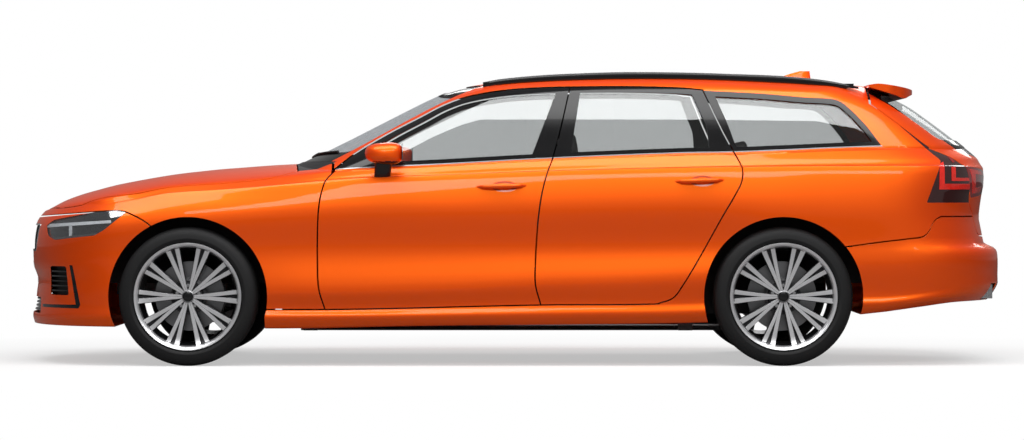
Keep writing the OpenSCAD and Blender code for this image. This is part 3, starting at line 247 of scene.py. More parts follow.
def high_grid(e):
    """Cabin set in by e: each station climbs the wall, rounds the roof edge and runs to the middle."""
    out = []
    specs = ([("front", a) for a in HIGH_FRONT] + [("side", u) for u in HIGH_SIDE]
             + [("tail", a) for a in HIGH_TAIL])
    for kind, v in specs:
        nominal = (mix(-770.0, -1000.0, math.sin(v)) if kind == "front" else
                   mix(-770.0, 1790.0, v) if kind == "side" else mix(1790.0, 2390.0, math.sin(v)))
        belt = float(curve(BELT_Z, nominal))
        foot = high_station(kind, v, np.array([mix(belt, 1470.0, -0.12)]), e, 30.0)
        z = np.linspace(belt, 1474.0, 160)
        wall = high_station(kind, v, z, e, 0.0)
        over = z - (curve(ROOF_Z, wall[:, 0]) - crown(wall[:, 1]) - e)
        hit = int(np.argmax(over >= 0)) if (over >= 0).any() else len(z) - 1
        hit = max(hit, 2)
        t = over[hit - 1] / (over[hit - 1] - over[hit]) if over[hit] != over[hit - 1] else 0
        edge = mix(wall[hit - 1], wall[hit], np.clip(t, 0, 1))
        round_r = 42.0 if kind == "side" else 14.0 + 28.0 * math.cos(v) ** 2
        up = wall[:hit]
        length = np.concatenate([[0], np.cumsum(np.linalg.norm(np.diff(
            np.vstack([up, edge]), axis=0), axis=1))])
        full = np.vstack([up, edge])
        at = np.linspace(0, length[-1] - round_r, 26)
        side = np.stack([np.interp(at, length, full[:, k]) for k in range(3)], 1)
        start = np.array([np.interp(length[-1] - round_r, length, full[:, k]) for k in range(3)])
        y0 = abs(edge[1])
        y_in = max(y0 - round_r, y0 * 0.35)
        stop = np.array([edge[0], -y_in, float(curve(ROOF_Z, edge[0]) - crown(y_in) - e)])
        ts = np.linspace(0, 1, 8)[1:-1, None]
        bend = (1 - ts) ** 2 * start + 2 * ts * (1 - ts) * edge + ts ** 2 * stop
        ys = y_in * (1 - np.linspace(0, 1, 15) * 0.98)
        top = np.stack([np.full(15, edge[0]), -ys, curve(ROOF_Z, edge[0]) - crown(ys) - e], 1)
        out.append(np.vstack([foot, side, bend, top]))
    return np.array(out)


# ---------------------------------------------------------------- meshes and solids
def raw_mesh(name, verts, faces):
    me = bpy.data.meshes.new(name)
    me.from_pydata([tuple(float(c) * MM for c in v) for v in verts], [], faces)
    me.update()
    return me


def grid_solid(name, g):
    """Closed solid whose left side is a grid of points and whose right side mirrors it."""
    n, m = g.shape[:2]
    left = g.reshape(-1, 3)
    verts = np.vstack([left, left * [1, -1, 1]])
    o = n * m
    f = []
    for i in range(n - 1):
        for j in range(m - 1):
            a = i * m + j
            f.append((a, a + m, a + m + 1, a + 1))
            f.append((o + a, o + a + 1, o + a + m + 1, o + a + m))
    for j in range(m - 1):
        f.append((o + j, j, j + 1, o + j + 1))
        b = n * m - m + j
        f.append((b, o + b, o + b + 1, b + 1))
    for i in range(n - 1):
        a = i * m
        f.append((o + a, o + a + m, a + m, a))
        t = a + m - 1
        f.append((t, t + m, o + t + m, o + t))
    me = raw_mesh(name, verts, f)
    bm = bmesh.new()
    bm.from_mesh(me)
    bmesh.ops.recalc_face_normals(bm, faces=bm.faces)
    bmesh.ops.triangulate(bm, faces=bm.faces)
    bm.to_mesh(me)
    bm.free()
    return me


def temp_object(me):
    o = bpy.data.objects.new(me.name, me)
    scene.collection.objects.link(o)
    return o


def boolean(a, b, op, solver="MANIFOLD"):
    """Mesh of a with b joined on, cut away or kept in common."""
    oa, ob = temp_object(a), temp_object(b)
    mod = oa.modifiers.new("b", "BOOLEAN")
    mod.operation, mod.solver, mod.object = op, solver, ob
    dg = bpy.context.evaluated_depsgraph_get()
    out = bpy.data.meshes.new_from_object(oa.evaluated_get(dg))
    bpy.data.objects.remove(oa)
    bpy.data.objects.remove(ob)
    return out


def cut(a, *tools):
    for t in tools:
        a = boolean(a, t, "DIFFERENCE")
    return a


def keep(a, *tools):
    for t in tools:
        a = boolean(a, t, "INTERSECT")
    return a


def prism(points, axis, lo, hi):
    """Solid on a closed outline: axis y takes (x, z), axis x takes (y, z), axis z takes (x, y)."""
    p = np.asarray(points, float)
    n = len(p)
    order = {"y": (0, 2, 1), "x": (1, 2, 0), "z": (0, 1, 2)}[axis]
    verts = np.zeros((2 * n, 3))
    for k, v in enumerate((lo, hi)):
        verts[k * n:(k + 1) * n, order[0]] = p[:, 0]
        verts[k * n:(k + 1) * n, order[1]] = p[:, 1]
        verts[k * n:(k + 1) * n, order[2]] = v
    faces = [tuple(range(n)), tuple(range(2 * n - 1, n - 1, -1))]
    faces += [(i, i + n, (i + 1) % n + n, (i + 1) % n) for i in range(n)]
    me = raw_mesh("prism", verts, faces)
    bm = bmesh.new()
    bm.from_mesh(me)
    bmesh.ops.triangulate(bm, faces=[f for f in bm.faces if len(f.verts) > 4])
    bmesh.ops.recalc_face_normals(bm, faces=bm.faces)
    bm.to_mesh(me)
    bm.free()
    return me


def grown(points, d):
    """Closed outline moved out by d along its own normals, whichever way it winds."""
    p = np.asarray(points, float)
    nxt, prv = np.roll(p, -1, 0), np.roll(p, 1, 0)
    area = 0.5 * np.sum(p[:, 0] * nxt[:, 1] - nxt[:, 0] * p[:, 1])
    sgn = 1.0 if area > 0 else -1.0
    a, b = p - prv, nxt - p
    a /= np.maximum(np.linalg.norm(a, axis=1)[:, None], 1e-9)
    b /= np.maximum(np.linalg.norm(b, axis=1)[:, None], 1e-9)
    na, nb = np.stack([a[:, 1], -a[:, 0]], 1), np.stack([b[:, 1], -b[:, 0]], 1)
    nn = na + nb
    ln = np.linalg.norm(nn, axis=1)[:, None]
    nn = nn / np.maximum(ln, 1e-9)
    k = 1 / np.maximum(np.sum(nn * na, 1), 0.45)[:, None]
    return p + sgn * d * nn * k


def chain(*parts):
    """Closed outline from open runs: a run marked smooth is refined, others keep their corners."""
    out = []
    for pts, steps in parts:
        q = refine(pts, steps) if steps > 1 and len(pts) > 2 else np.asarray(pts, float)
        for r in q:
            if not out or np.linalg.norm(out[-1] - r) > 0.5:
                out.append(r)
    if np.linalg.norm(out[0] - out[-1]) < 0.5:
        out.pop()
    return np.array(out)


def disc2d(cx, cz, r, n=128):
    a = np.linspace(0, 2 * math.pi, n, endpoint=False)
    return np.stack([cx + r * np.cos(a), cz + r * np.sin(a)], 1)


def box(x0, x1, y0, y1, z0, z1):
    return prism([(x0, y0), (x1, y0), (x1, y1), (x0, y1)], "z", z0, z1)


# ---------------------------------------------------------------- procedural finishes
def blank_material(name):
    """An empty node material, with the calls that add and join its nodes."""
    m = bpy.data.materials.new(name)
    m.use_nodes = True
    m.node_tree.nodes.clear()
    return m, m.node_tree.nodes.new, m.node_tree.links.new


def finish_node(name, color, rough, metal=0.0, coat=0.0, vary=0.06, scale=60.0, bump=0.0,
                bump_scale=400.0, spec=0.5, sheen=0.0, bevel=0.0, second=None):
    """A material whose colour and roughness are broken up by noise, with an optional grain."""
    m, new, link = blank_material(name)
    out, b = new("ShaderNodeOutputMaterial"), new("ShaderNodeBsdfPrincipled")
    tc, noise = new("ShaderNodeTexCoord"), new("ShaderNodeTexNoise")
    noise.inputs["Scale"].default_value = scale
    noise.inputs["Detail"].default_value = 4.0
    link(tc.outputs["Object"], noise.inputs["Vector"])
    ramp = new("ShaderNodeValToRGB")
    low = [c * (1 - vary) for c in color]
    high = [min(1.0, c * (1 + vary)) for c in (second or color)]
    ramp.color_ramp.elements[0].color = (*low, 1)
    ramp.color_ramp.elements[1].color = (*high, 1)
    ramp.color_ramp.elements[0].position = 0.3
    ramp.color_ramp.elements[1].position = 0.7
    link(noise.outputs["Fac"], ramp.inputs["Fac"])
    link(ramp.outputs["Color"], b.inputs["Base Color"])
    rr = new("ShaderNodeMapRange")
    rr.inputs["To Min"].default_value = rough * 0.9
    rr.inputs["To Max"].default_value = min(1.0, rough * 1.1 + 0.005)
    link(noise.outputs["Fac"], rr.inputs["Value"])
    link(rr.outputs["Result"], b.inputs["Roughness"])
    b.inputs["Metallic"].default_value = metal
    b.inputs["Specular IOR Level"].default_value = spec
    b.inputs["Coat Weight"].default_value = coat
    b.inputs["Coat Roughness"].default_value = 0.03
    b.inputs["Sheen Weight"].default_value = sheen
    normal = None
    if bevel > 0:
        bv = new("ShaderNodeBevel")
        bv.samples = 4
        bv.inputs["Radius"].default_value = bevel
        normal = bv.outputs["Normal"]
        link(normal, b.inputs["Normal"])
        link(normal, b.inputs["Coat Normal"])
    if bump > 0:
        grain, bp = new("ShaderNodeTexNoise"), new("ShaderNodeBump")
        grain.inputs["Scale"].default_value = bump_scale
        grain.inputs["Detail"].default_value = 3.0
        bp.inputs["Strength"].default_value = bump
        bp.inputs["Distance"].default_value = 0.001
        link(tc.outputs["Object"], grain.inputs["Vector"])
        link(grain.outputs["Fac"], bp.inputs["Height"])
        if normal:
            link(normal, bp.inputs["Normal"])
        link(bp.outputs["Normal"], b.inputs["Normal"])
    link(b.outputs["BSDF"], out.inputs["Surface"])
    return m


def glass_node(name, tint, gloss):
    """Thin pane: lets light straight through with a tint, with a clear reflection over it."""
    m, new, link = blank_material(name)
    out, mixer = new("ShaderNodeOutputMaterial"), new("ShaderNodeMixShader")
    clear, shine = new("ShaderNodeBsdfTransparent"), new("ShaderNodeBsdfPrincipled")
    tc, noise, ramp = new("ShaderNodeTexCoord"), new("ShaderNodeTexNoise"), new("ShaderNodeValToRGB")
    noise.inputs["Scale"].default_value = 1.5
    link(tc.outputs["Object"], noise.inputs["Vector"])
    ramp.color_ramp.elements[0].color = (*[c * 0.97 for c in tint], 1)
    ramp.color_ramp.elements[1].color = (*tint, 1)
    link(noise.outputs["Fac"], ramp.inputs["Fac"])
    link(ramp.outputs["Color"], clear.inputs["Color"])
    link(ramp.outputs["Color"], shine.inputs["Base Color"])
    shine.inputs["Roughness"].default_value = 0.02
    shine.inputs["Metallic"].default_value = 1.0
    mixer.inputs["Fac"].default_value = gloss
    link(clear.outputs["BSDF"], mixer.inputs[1])
    link(shine.outputs["BSDF"], mixer.inputs[2])
    link(mixer.outputs["Shader"], out.inputs["Surface"])
    return m


def paint_node(name, deep, flake):
    """Car paint: a deep solid colour mixed with a golden metallic flake, under clear lacquer."""
    m, new, link = blank_material(name)
    out, mixer = new("ShaderNodeOutputMaterial"), new("ShaderNodeMixShader")
    base, metal = new("ShaderNodeBsdfPrincipled"), new("ShaderNodeBsdfPrincipled")
    tc, noise, bevel = new("ShaderNodeTexCoord"), new("ShaderNodeTexNoise"), new("ShaderNodeBevel")
    noise.inputs["Scale"].default_value = 900.0
    bevel.samples = 4
    bevel.inputs["Radius"].default_value = 0.0015
    link(tc.outputs["Object"], noise.inputs["Vector"])
    for node, color, m_val, rough in ((base, deep, 0.0, 0.5), (metal, flake, 1.0, 0.45)):
        ramp = new("ShaderNodeValToRGB")
        ramp.color_ramp.elements[0].color = (*[c * 0.97 for c in color], 1)
        ramp.color_ramp.elements[1].color = (*[min(1.0, c * 1.03) for c in color], 1)
        link(noise.outputs["Fac"], ramp.inputs["Fac"])
        link(ramp.outputs["Color"], node.inputs["Base Color"])
        node.inputs["Metallic"].default_value = m_val
        node.inputs["Roughness"].default_value = rough
        node.inputs["Specular IOR Level"].default_value = 0.1
        node.inputs["Coat Weight"].default_value = 0.55
        node.inputs["Coat Roughness"].default_value = 0.03
        node.inputs["Coat IOR"].default_value = 1.4
        link(bevel.outputs["Normal"], node.inputs["Normal"])
        link(bevel.outputs["Normal"], node.inputs["Coat Normal"])
    mixer.inputs["Fac"].default_value = 0.5
    link(base.outputs["BSDF"], mixer.inputs[1])
    link(metal.outputs["BSDF"], mixer.inputs[2])
    link(mixer.outputs["Shader"], out.inputs["Surface"])
    return m


M = {
    "paint": paint_node("paint_orange", (0.88, 0.028, 0.0006), (1.0, 0.20, 0.004)),
    "black": finish_node("gloss_black", (0.006, 0.006, 0.0065), 0.2, coat=0.25, scale=30.0,
                         spec=0.3),
    "band": finish_node("window_band", (0.004, 0.004, 0.0045), 0.16, coat=0.25, scale=20.0,
                        spec=0.25),
    "dark": finish_node("grained_black", (0.016, 0.016, 0.017), 0.6, bump=0.3, spec=0.3),
    "mesh": finish_node("intake_black", (0.008, 0.008, 0.008), 0.6, bump=0.3),
    "under": finish_node("underseal", (0.03, 0.03, 0.032), 0.75, bump=0.5, bump_scale=150.0),
    "gear": finish_node("cast_gear", (0.16, 0.16, 0.165), 0.5, metal=0.8, bump=0.4),
    "steel": finish_node("bright_steel", (0.62, 0.62, 0.63), 0.2, metal=1.0, scale=200.0),
    "chrome": finish_node("chrome", (0.80, 0.80, 0.81), 0.08, metal=1.0, scale=40.0),
    "satin": finish_node("satin_trim", (0.30, 0.30, 0.31), 0.3, metal=1.0, scale=80.0),
    "alloy": finish_node("machined_alloy", (0.72, 0.72, 0.735), 0.34, metal=0.75, coat=0.3,
                         scale=300.0, bevel=0.001),
    "pocket": finish_node("dark_alloy", (0.03, 0.03, 0.033), 0.35, metal=0.6, scale=120.0),
    "disc": finish_node("brake_disc", (0.30, 0.30, 0.31), 0.35, metal=1.0, scale=250.0),
    "tyre": finish_node("tyre_rubber", (0.010, 0.010, 0.0105), 0.62, bump=0.4, bump_scale=700.0,
                        spec=0.25),
    "leather": finish_node("seat_leather", (0.045, 0.043, 0.042), 0.5, bump=0.6,
                           bump_scale=500.0, sheen=0.1),
    "cloth": finish_node("roof_cloth", (0.42, 0.41, 0.40), 0.9, bump=0.4, bump_scale=900.0),
    "red": finish_node("lamp_red", (0.22, 0.004, 0.004), 0.08, coat=1.0, scale=60.0,
                       second=(0.30, 0.006, 0.006)),
    "smoke": finish_node("lamp_smoke", (0.035, 0.006, 0.006), 0.06, coat=1.0, scale=60.0),
    "lamp_body": finish_node("lamp_body", (0.02, 0.02, 0.022), 0.15, coat=1.0, scale=50.0),
    "white": finish_node("lamp_white", (0.80, 0.81, 0.82), 0.15, coat=0.8, scale=50.0),
    "glass": glass_node("clear_glass", (0.84, 0.85, 0.85), 0.07),
    "glass_front": glass_node("screen_glass", (0.84, 0.85, 0.86), 0.08),
    "mirror": finish_node("mirror_face", (0.75, 0.76, 0.77), 0.03, metal=1.0, scale=10.0),
}


# ---------------------------------------------------------------- making pieces
pieces = {}


def piece(name, me, mat, body, replaces=(), smooth=None):
    """Puts a mesh in the scene as a named piece on a CAD body."""
    me.name = name
    me.materials.clear()
    me.materials.append(M[mat])
    o = bpy.data.objects.new(name, me)
    scene.collection.objects.link(o)
    if smooth is not None:
        shade(me, smooth)
    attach(o, body)
    if replaces:
        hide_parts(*replaces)
    pieces[name] = o
    return o


def shade(me, degrees):
    """Smooth shading that keeps edges sharper than the angle."""
    bm = bmesh.new()
    bm.from_mesh(me)
    for f in bm.faces:
        f.smooth = True
    for e in bm.edges:
        e.smooth = not (len(e.link_faces) == 2 and e.calc_face_angle(0) > math.radians(degrees))
    bm.to_mesh(me)
    bm.free()


class Skin:
    """Nearest smooth normal of the design surface, for shading what was cut from it."""

    def __init__(self, meshes):
        self.parts = []
        for me in meshes:
            bm = bmesh.new()
            bm.from_mesh(me)
            bm.normal_update()
            v = [x.co.copy() for x in bm.verts]
            f = [tuple(p.index for p in face.verts) for face in bm.faces]
            n = np.array([tuple(x.normal) for x in bm.verts])
            self.parts.append((BVHTree.FromPolygons(v, f), f, np.array([tuple(c) for c in v]), n))
            bm.free()

    def normal(self, co, face_n, reach):
        best, found = None, 0.7
        for tree, f, v, n in self.parts:
            hit, fn, i, d = tree.find_nearest(co, reach)
            if hit is None or fn.dot(face_n) < found:
                continue
            a, b, c = (v[k] for k in f[i])
            p = np.array(hit)
            w = np.array([np.linalg.norm(np.cross(b - p, c - p)),
                          np.linalg.norm(np.cross(c - p, a - p)),
                          np.linalg.norm(np.cross(a - p, b - p))])
            s = w.sum()
            if s < 1e-12:
                continue
            m = (n[list(f[i])] * (w / s)[:, None]).sum(0)
            best, found = m / max(np.linalg.norm(m), 1e-9), fn.dot(face_n)
        return best


def skin_shade(me, skin, reach=0.0012):
    """Gives faces that lie on the design surface its own smooth normals."""
    me.update()
    normals = np.zeros((len(me.loops), 3))
    for poly in me.polygons:
        fn = poly.normal
        for li in poly.loop_indices:
            co = me.vertices[me.loops[li].vertex_index].co
            m = skin.normal(co, fn, reach)
            normals[li] = fn if m is None else m
        poly.use_smooth = True
    me.normals_split_custom_set([tuple(x) for x in normals])


def both_sides(me):
    """The mesh and its mirror image across the middle plane."""
    other = me.copy()
    co = np.zeros(len(other.vertices) * 3)
    other.vertices.foreach_get("co", co)
    co = co.reshape(-1, 3) * [1, -1, 1]
    other.vertices.foreach_set("co", co.ravel())
    other.flip_normals()
    other.update()
    return me, other


SIDES = (("left", 0), ("right", 1))

# ---------------------------------------------------------------- body solids
low0, low5 = grid_solid("low0", low_grid(0)), grid_solid("low5", low_grid(SKIN))
high0, high5 = grid_solid("high0", high_grid(0)), grid_solid("high5", high_grid(SKIN))
outer = boolean(low0, high0, "UNION")
inner = boolean(low5, high5, "UNION")
shell = cut(outer, inner)
skin = Skin([low0, high0, low5, high5])
print("shell", len(shell.polygons))

# ---------------------------------------------------------------- panel outlines on the side
DOOR_FRONT = [(-930, 283), (-959, 383), (-966, 504), (-966, 655), (-957, 805), (-930, 909),
              (-887, 961)]
SPLIT = [(128, 305), (102, 403), (102, 504), (108, 625), (118, 745), (135, 856), (162, 957),
         (185, 1017), (222, 1149), (276, 1381)]
TOP_FRONT = [(-887, 971), (-789, 1049), (-629, 1146), (-468, 1230), (-354, 1290), (-240, 1331),
             (-68, 1362), (104, 1376), (276, 1381)]
TOP_REAR = [(276, 1381), (549, 1383), (829, 1376), (940, 1366)]
DOOR_BACK = [(940, 1366), (1030, 1165), (1090, 1048), (1123, 976), (1121, 916), (1093, 856),
             (1022, 735), (922, 554), (821, 388), (781, 338), (711, 313)]
QUARTER_TOP = [(950, 1366), (1241, 1350), (1445, 1332), (1598, 1322), (1648, 1299),
               (1745, 1201), (1813, 1109)]


def foot_run(x0, x1):
    xs = np.linspace(x0, x1, 12)
    return [(x, float(curve(FOOT_Z, x))) for x in xs]


front_door_line = chain((foot_run(128, -930), 1), (DOOR_FRONT, 5), (TOP_FRONT, 5),
                        (SPLIT[::-1], 5))
SPLIT_REAR = [(x + GAP, z) for x, z in SPLIT]
rear_door_line = chain((foot_run(711, 128 + GAP), 1), (SPLIT_REAR, 5),
                       ([SPLIT_REAR[-1]] + TOP_REAR[1:], 5), (DOOR_BACK, 5))


def side_solid(line, y_in=300.0, y_out=1200.0):
    """Outline pushed through the left side of the car."""
    return prism(line, "y", -y_out, -y_in)


def window_zone(d):
    """Left window area, brought in by d from the top line and the belt."""
    top = refine(TOP_FRONT + TOP_REAR[1:] + QUARTER_TOP[1:], 6)
    t = np.gradient(top, axis=0)
    t /= np.linalg.norm(t, axis=1)[:, None]
    top = top + d * np.stack([t[:, 1], -t[:, 0]], 1)
    tail = top[-1] + (top[-1] - top[-4]) / np.linalg.norm(top[-1] - top[-4]) * 260
    under = np.vstack([[(top[0, 0], 700.0)], top, [tail], [(tail[0], 700.0)]])
    xs = np.linspace(-1100, 2100, 60)
    low = np.stack([xs, curve(BELT_Z, xs) + 8 + d], 1)
    over = np.vstack([low, [(2100.0, 1600.0), (-1100.0, 1600.0)]])
    return keep(side_solid(under), side_solid(over))


def round_corners(pts, r, n=6):
    """Closed outline with each corner rounded."""
    p = np.asarray(pts, float)
    out = []
    for i in range(len(p)):
        a, b, c = p[i - 1], p[i], p[(i + 1) % len(p)]
        u, v = a - b, c - b
        lu, lv = np.linalg.norm(u), np.linalg.norm(v)
        k = min(r, lu * 0.45, lv * 0.45)
        s, e = b + u / lu * k, b + v / lv * k
        for t in np.linspace(0, 1, n):
            out.append((1 - t) ** 2 * s + 2 * t * (1 - t) * b + t * t * e)
    return np.array(out)


FRONT_PANE = [(-700, 900), (-700, 1440), (220, 1440), (208, 1349), (83, 1020), (60, 900)]
REAR_PANE = [(277, 900), (277, 1027), (330, 1355), (335, 1440), (850, 1440), (888, 1349),
             (959, 1180), (985, 900)]
QUARTER_PANE = [(1140, 1020), (1100, 1085), (1065, 1190), (1000, 1345), (990, 1440),
                (1830, 1440), (1830, 1000)]
arch_front = disc2d(FRONT_X, TYRE_R, TYRE_R + 50)
arch_rear = disc2d(REAR_X, TYRE_R, TYRE_R + 50)
BUMPER_SPLIT = [(1625, 590), (1800, 614), (1960, 633), (2020, 642), (2050, 668), (2078, 718),
                (2112, 741)]


def sym(half):
    """Closed outline from its half with positive first coordinate kept as drawn."""
    h = [tuple(q) for q in half]
    return np.array(h + [(-a, b) for a, b in h[::-1] if abs(a) > 1e-6])


TAILGATE = sym(np.vstack([[(0, 640)], refine([(520, 640), (575, 660), (600, 745), (655, 800),
               (672, 880), (690, 1000), (690, 1080), (650, 1230), (600, 1360), (585, 1470)], 4),
               [(0, 1470)]]))
SCREEN = sym(np.vstack([[(0, 1012)], refine([(712, 1012), (664, 1120), (604, 1250), (556, 1368)],
             4), refine([(556, 1368), (545, 1385), (520, 1393), (400, 1398)], 4),
             [(0, 1398)]]))
HOOD_EDGE = refine([(-2376, 0), (-2366, 286), (-2330, 430), (-2278, 560), (-2225, 650),
                    (-2150, 728), (-2050, 775), (-1950, 805), (-1610, 826), (-1229, 822),
                    (-1150, 796), (-1079, 740)], 5)
HOOD_BACK = refine([(-1079, 740), (-1095, 500), (-1112, 250), (-1120, 0)], 4)
HOOD = np.vstack([HOOD_EDGE, HOOD_BACK[1:], (HOOD_BACK[::-1] * [1, -1])[1:],
                  (HOOD_EDGE[::-1] * [1, -1])[1:-1]])
ROOF = sym(refine([(0, -345), (440, -300), (575, -240), (592, -150)], 4).tolist()
           + refine([(592, 1680), (592, 1755), (577, 1776)], 4).tolist() + [(0, 1777)])[:, ::-1]


def hood_solid(d, z0=742.0):
    return prism(grown(HOOD, d), "z", z0, z0 + 400)


def tailgate_solid(d, x0):
    return prism(grown(TAILGATE, d), "x", x0, 2650.0)


deep_low = grid_solid("deep_low", low_grid(SKIN, DOOR_IN))
deep_high = grid_solid("deep_high", high_grid(40.0))
deep = cut(outer, boolean(deep_low, deep_high, "UNION"))
frame24 = grid_solid("frame24", low_grid(24.0))
rim_in = boolean(grid_solid("in1", low_grid(1.0)), grid_solid("in1h", high_grid(1.0)), "UNION")
screen_solid = prism(SCREEN, "x", -1400.0, -40.0)
belt_slab = box(-1300, -860, -738, 738, 800, 1012)
under_hood = hood_solid(GAP)
gate_gap = tailgate_solid(GAP, 1777.0)
zone = window_zone(0.0)
LAMP_STRIP = round_corners([(1765, 1336), (1860, 1345), (2260, 1060), (2480, 1060), (2480, 806),
                            (2040, 806), (2122, 1015)], 8)
strip_solid = side_solid(LAMP_STRIP, 430.0)


def painted(name, me, body, replaces=(), side=0, mat="paint"):
    """Left or right copy of a panel with the design surface's own shading."""
    m = me.copy()
    if side:
        m = both_sides(m)[1]
    skin_shade(m, skin)
    return piece(name, m, mat, body, replaces)


# body sides
rear_low = side_solid(np.vstack([[(1625, 0)], refine(BUMPER_SPLIT, 4), [(2650, 741), (2650, 0)]]),
                      200.0)
body_side = keep(deep, side_solid([(-1230, 150), (-1230, 276), (-893, 276), (-893, 1004),
                                   (-1160, 1004), (-1100, 1120), (-300, 1480), (2480, 1480),
                                   (2480, 150)], 280.0))
quarter_solid = keep(window_zone(26.0), side_solid(round_corners(QUARTER_PANE, 26)))
body_side = cut(body_side, rear_low, side_solid(grown(front_door_line, GAP), 200.0),
                side_solid(grown(rear_door_line, GAP), 200.0),
                side_solid([(-870, 312), (-870, 930), (98, 930), (98, 330)], 200.0),
                side_solid([(98, 330), (98, 820), (260, 820), (260, 330)], 200.0),
                side_solid(arch_front, 200.0), side_solid(arch_rear, 200.0), quarter_solid,
                prism(grown(ROOF, 0.3), "z", 1200.0, 1700.0), screen_solid, gate_gap,
                under_hood, belt_slab, box(1600, 1800, -575, 575, 1300, 1500), strip_solid)
body_paint = cut(body_side, zone)
body_black = keep(body_side, zone)
for side_name, s in SIDES:
    painted("side_panel_" + side_name, body_paint, "body", replaces=["body_side_" + side_name],
            side=s)
    painted("side_band_" + side_name, body_black, "body", side=s, mat="band")


# doors
def door(line, box_line, pane_line):
    """Skin to the edge with a deeper box behind it, and the hole for its glass."""
    lid = keep(shell, side_solid(line))
    core = keep(cut(rim_in, boolean(deep_low, deep_high, "UNION")),
                side_solid(grown(line, -18.0)), side_solid(box_line))
    pane = keep(window_zone(26.0), side_solid(round_corners(pane_line, 26)))
    d = cut(boolean(lid, core, "UNION"), pane, box(-1100, 1300, -768, 768, 0, 1000))
    return cut(d, zone), keep(d, zone), pane


front_door, front_frame, front_hole = door(front_door_line,
    [(-848, 200), (-848, 950), (-890, 955), (-890, 1500), (300, 1500), (300, 950), (84, 950),
     (84, 200)], FRONT_PANE)
rear_door, rear_frame, rear_hole = door(rear_door_line,
    [(225, 200), (225, 950), (150, 955), (150, 1500), (1300, 1500), (1300, 200)], REAR_PANE)
for side_name, s in SIDES:
    for end, lid, frame_me in (("front", front_door, front_frame), ("rear", rear_door, rear_frame)):
        b = end + "_door_" + side_name
        painted(b + "_panel", lid, b, replaces=[b], side=s)
        painted(b + "_frame", frame_me, b, side=s, mat="band")

# glass
glass_shell = cut(grid_solid("g8", high_grid(8.0)), grid_solid("g13", high_grid(13.0)))
side_glass = {"front_glass": front_hole, "rear_glass": rear_hole, "quarter": quarter_solid}
for key, hole in side_glass.items():
    pane = keep(glass_shell, hole)
    for side_name, s in SIDES:
        m = both_sides(pane.copy())[s] if s else pane.copy()
        if key == "quarter":
            o = piece("quarter_pane_" + side_name, m, "glass", "body", (), 25)
            if s == 0:
                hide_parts("quarter_windows")
        else:
            piece(key + "_pane_" + side_name, m, "glass", key.split("_")[0] + "_door_" + side_name,
                  [key + "_" + side_name], 25)
piece("screen_pane", keep(glass_shell, prism(grown(SCREEN, -0.4), "x", -1400.0, -40.0)),
      "glass_front", "body", ["windscreen"], 25)
ink = cut(grid_solid("g6", high_grid(6.8)), grid_solid("g79", high_grid(7.8)))
ink = keep(ink, prism(grown(SCREEN, -0.4), "x", -1400.0, -40.0))
ink = cut(ink, prism(round_corners([(690, 1058), (640, 1160), (590, 1265), (555, 1345),
                                    (530, 1352), (-530, 1352), (-555, 1345), (-590, 1265),
                                    (-640, 1160), (-690, 1058)], 40), "x", -1400.0, -40.0))
piece("screen_border", ink, "band", "body", (), 25)

# roof, hood, cowl
roof = cut(keep(shell, prism(ROOF, "z", 1200.0, 1700.0)), prism(grown(SCREEN, 0.3), "x", -1400.0, -40.0))
painted("roof_skin", roof, "body", replaces=["roof_panel"])
hood = boolean(keep(shell, hood_solid(0.0)), keep(cut(rim_in, frame24), hood_solid(-40.0)), "UNION")
painted("hood_skin", hood, "hood", replaces=["hood"])
cowl = cut(keep(shell, box(-1130, -880, -737.7, 737.7, 900, 1011.5)), under_hood)
painted("cowl_cover", cowl, "body", ["cowl"], mat="dark")

# front end
HEAD_LAMP = round_corners([(-2345, 690), (-2303, 719), (-2064, 762), (-1952, 766), (-1916, 759),
                           (-1972, 714), (-2023, 673), (-2074, 644), (-2155, 636),
                           (-2292, 620), (-2330, 640)], 9)
SIDE_INTAKE = round_corners([(-2316, 490), (-2225, 490), (-2211, 346), (-2316, 346)], 12)
FRONT_CUT = np.vstack([[(-2600, 720)], refine([(-2064, 762), (-1952, 766), (-1905, 756),
                       (-1808, 704), (-1700, 600)], 5), [(-1700, 50), (-2600, 50)]])
lamp_hole = side_solid(grown(HEAD_LAMP, 0.3), 180.0)
fender = keep(shell, side_solid([(-2500, 283), (-937, 283), (-906, 940), (-906, 998),
                                 (-2500, 998)], 180.0))
fender = cut(fender, side_solid(grown(FRONT_CUT, GAP / 2), 100.0), under_hood,
             side_solid(grown(front_door_line, GAP), 100.0), side_solid(arch_front, 100.0),
             lamp_hole, box(-900, -200, -1200, 1200, 0, 1500),
             box(-1136, -800, -738, 738, 900, 1100))
for side_name, s in SIDES:
    painted("fender_" + side_name, fender, "body", replaces=["front_fenders"] if s == 0 else (),
            side=s)
right_lamp_hole = both_sides(lamp_hole.copy())[1]
intake_l = side_solid(SIDE_INTAKE, 180.0)
intake_r = both_sides(intake_l.copy())[1]
GRILLE_UP = round_corners([(-430, 560), (-470, 620), (-470, 700), (470, 700), (470, 620),
                           (430, 560)], 18)
GRILLE_LOW = round_corners([(-520, 250), (-480, 330), (480, 330), (520, 250)], 18)
bumper = keep(shell, prism(grown(FRONT_CUT, -GAP / 2), "y", -1200.0, 1200.0))
bumper = cut(bumper, prism(arch_front, "y", -1200.0, 1200.0), lamp_hole, right_lamp_hole,
             intake_l, intake_r, prism(GRILLE_UP, "x", -2600.0, -2100.0),
             prism(GRILLE_LOW, "x", -2600.0, -2100.0), under_hood)
painted("front_bumper_skin", bumper, "body", replaces=["front_bumper"])
nose = cut(keep(shell, box(-2500, -2300, -180, 180, 690, 830)), under_hood,
           prism(grown(FRONT_CUT, GAP / 2), "y", -1200.0, 1200.0),
           prism(GRILLE_UP, "x", -2600.0, -2100.0))
painted("nose_panel", nose, "body")

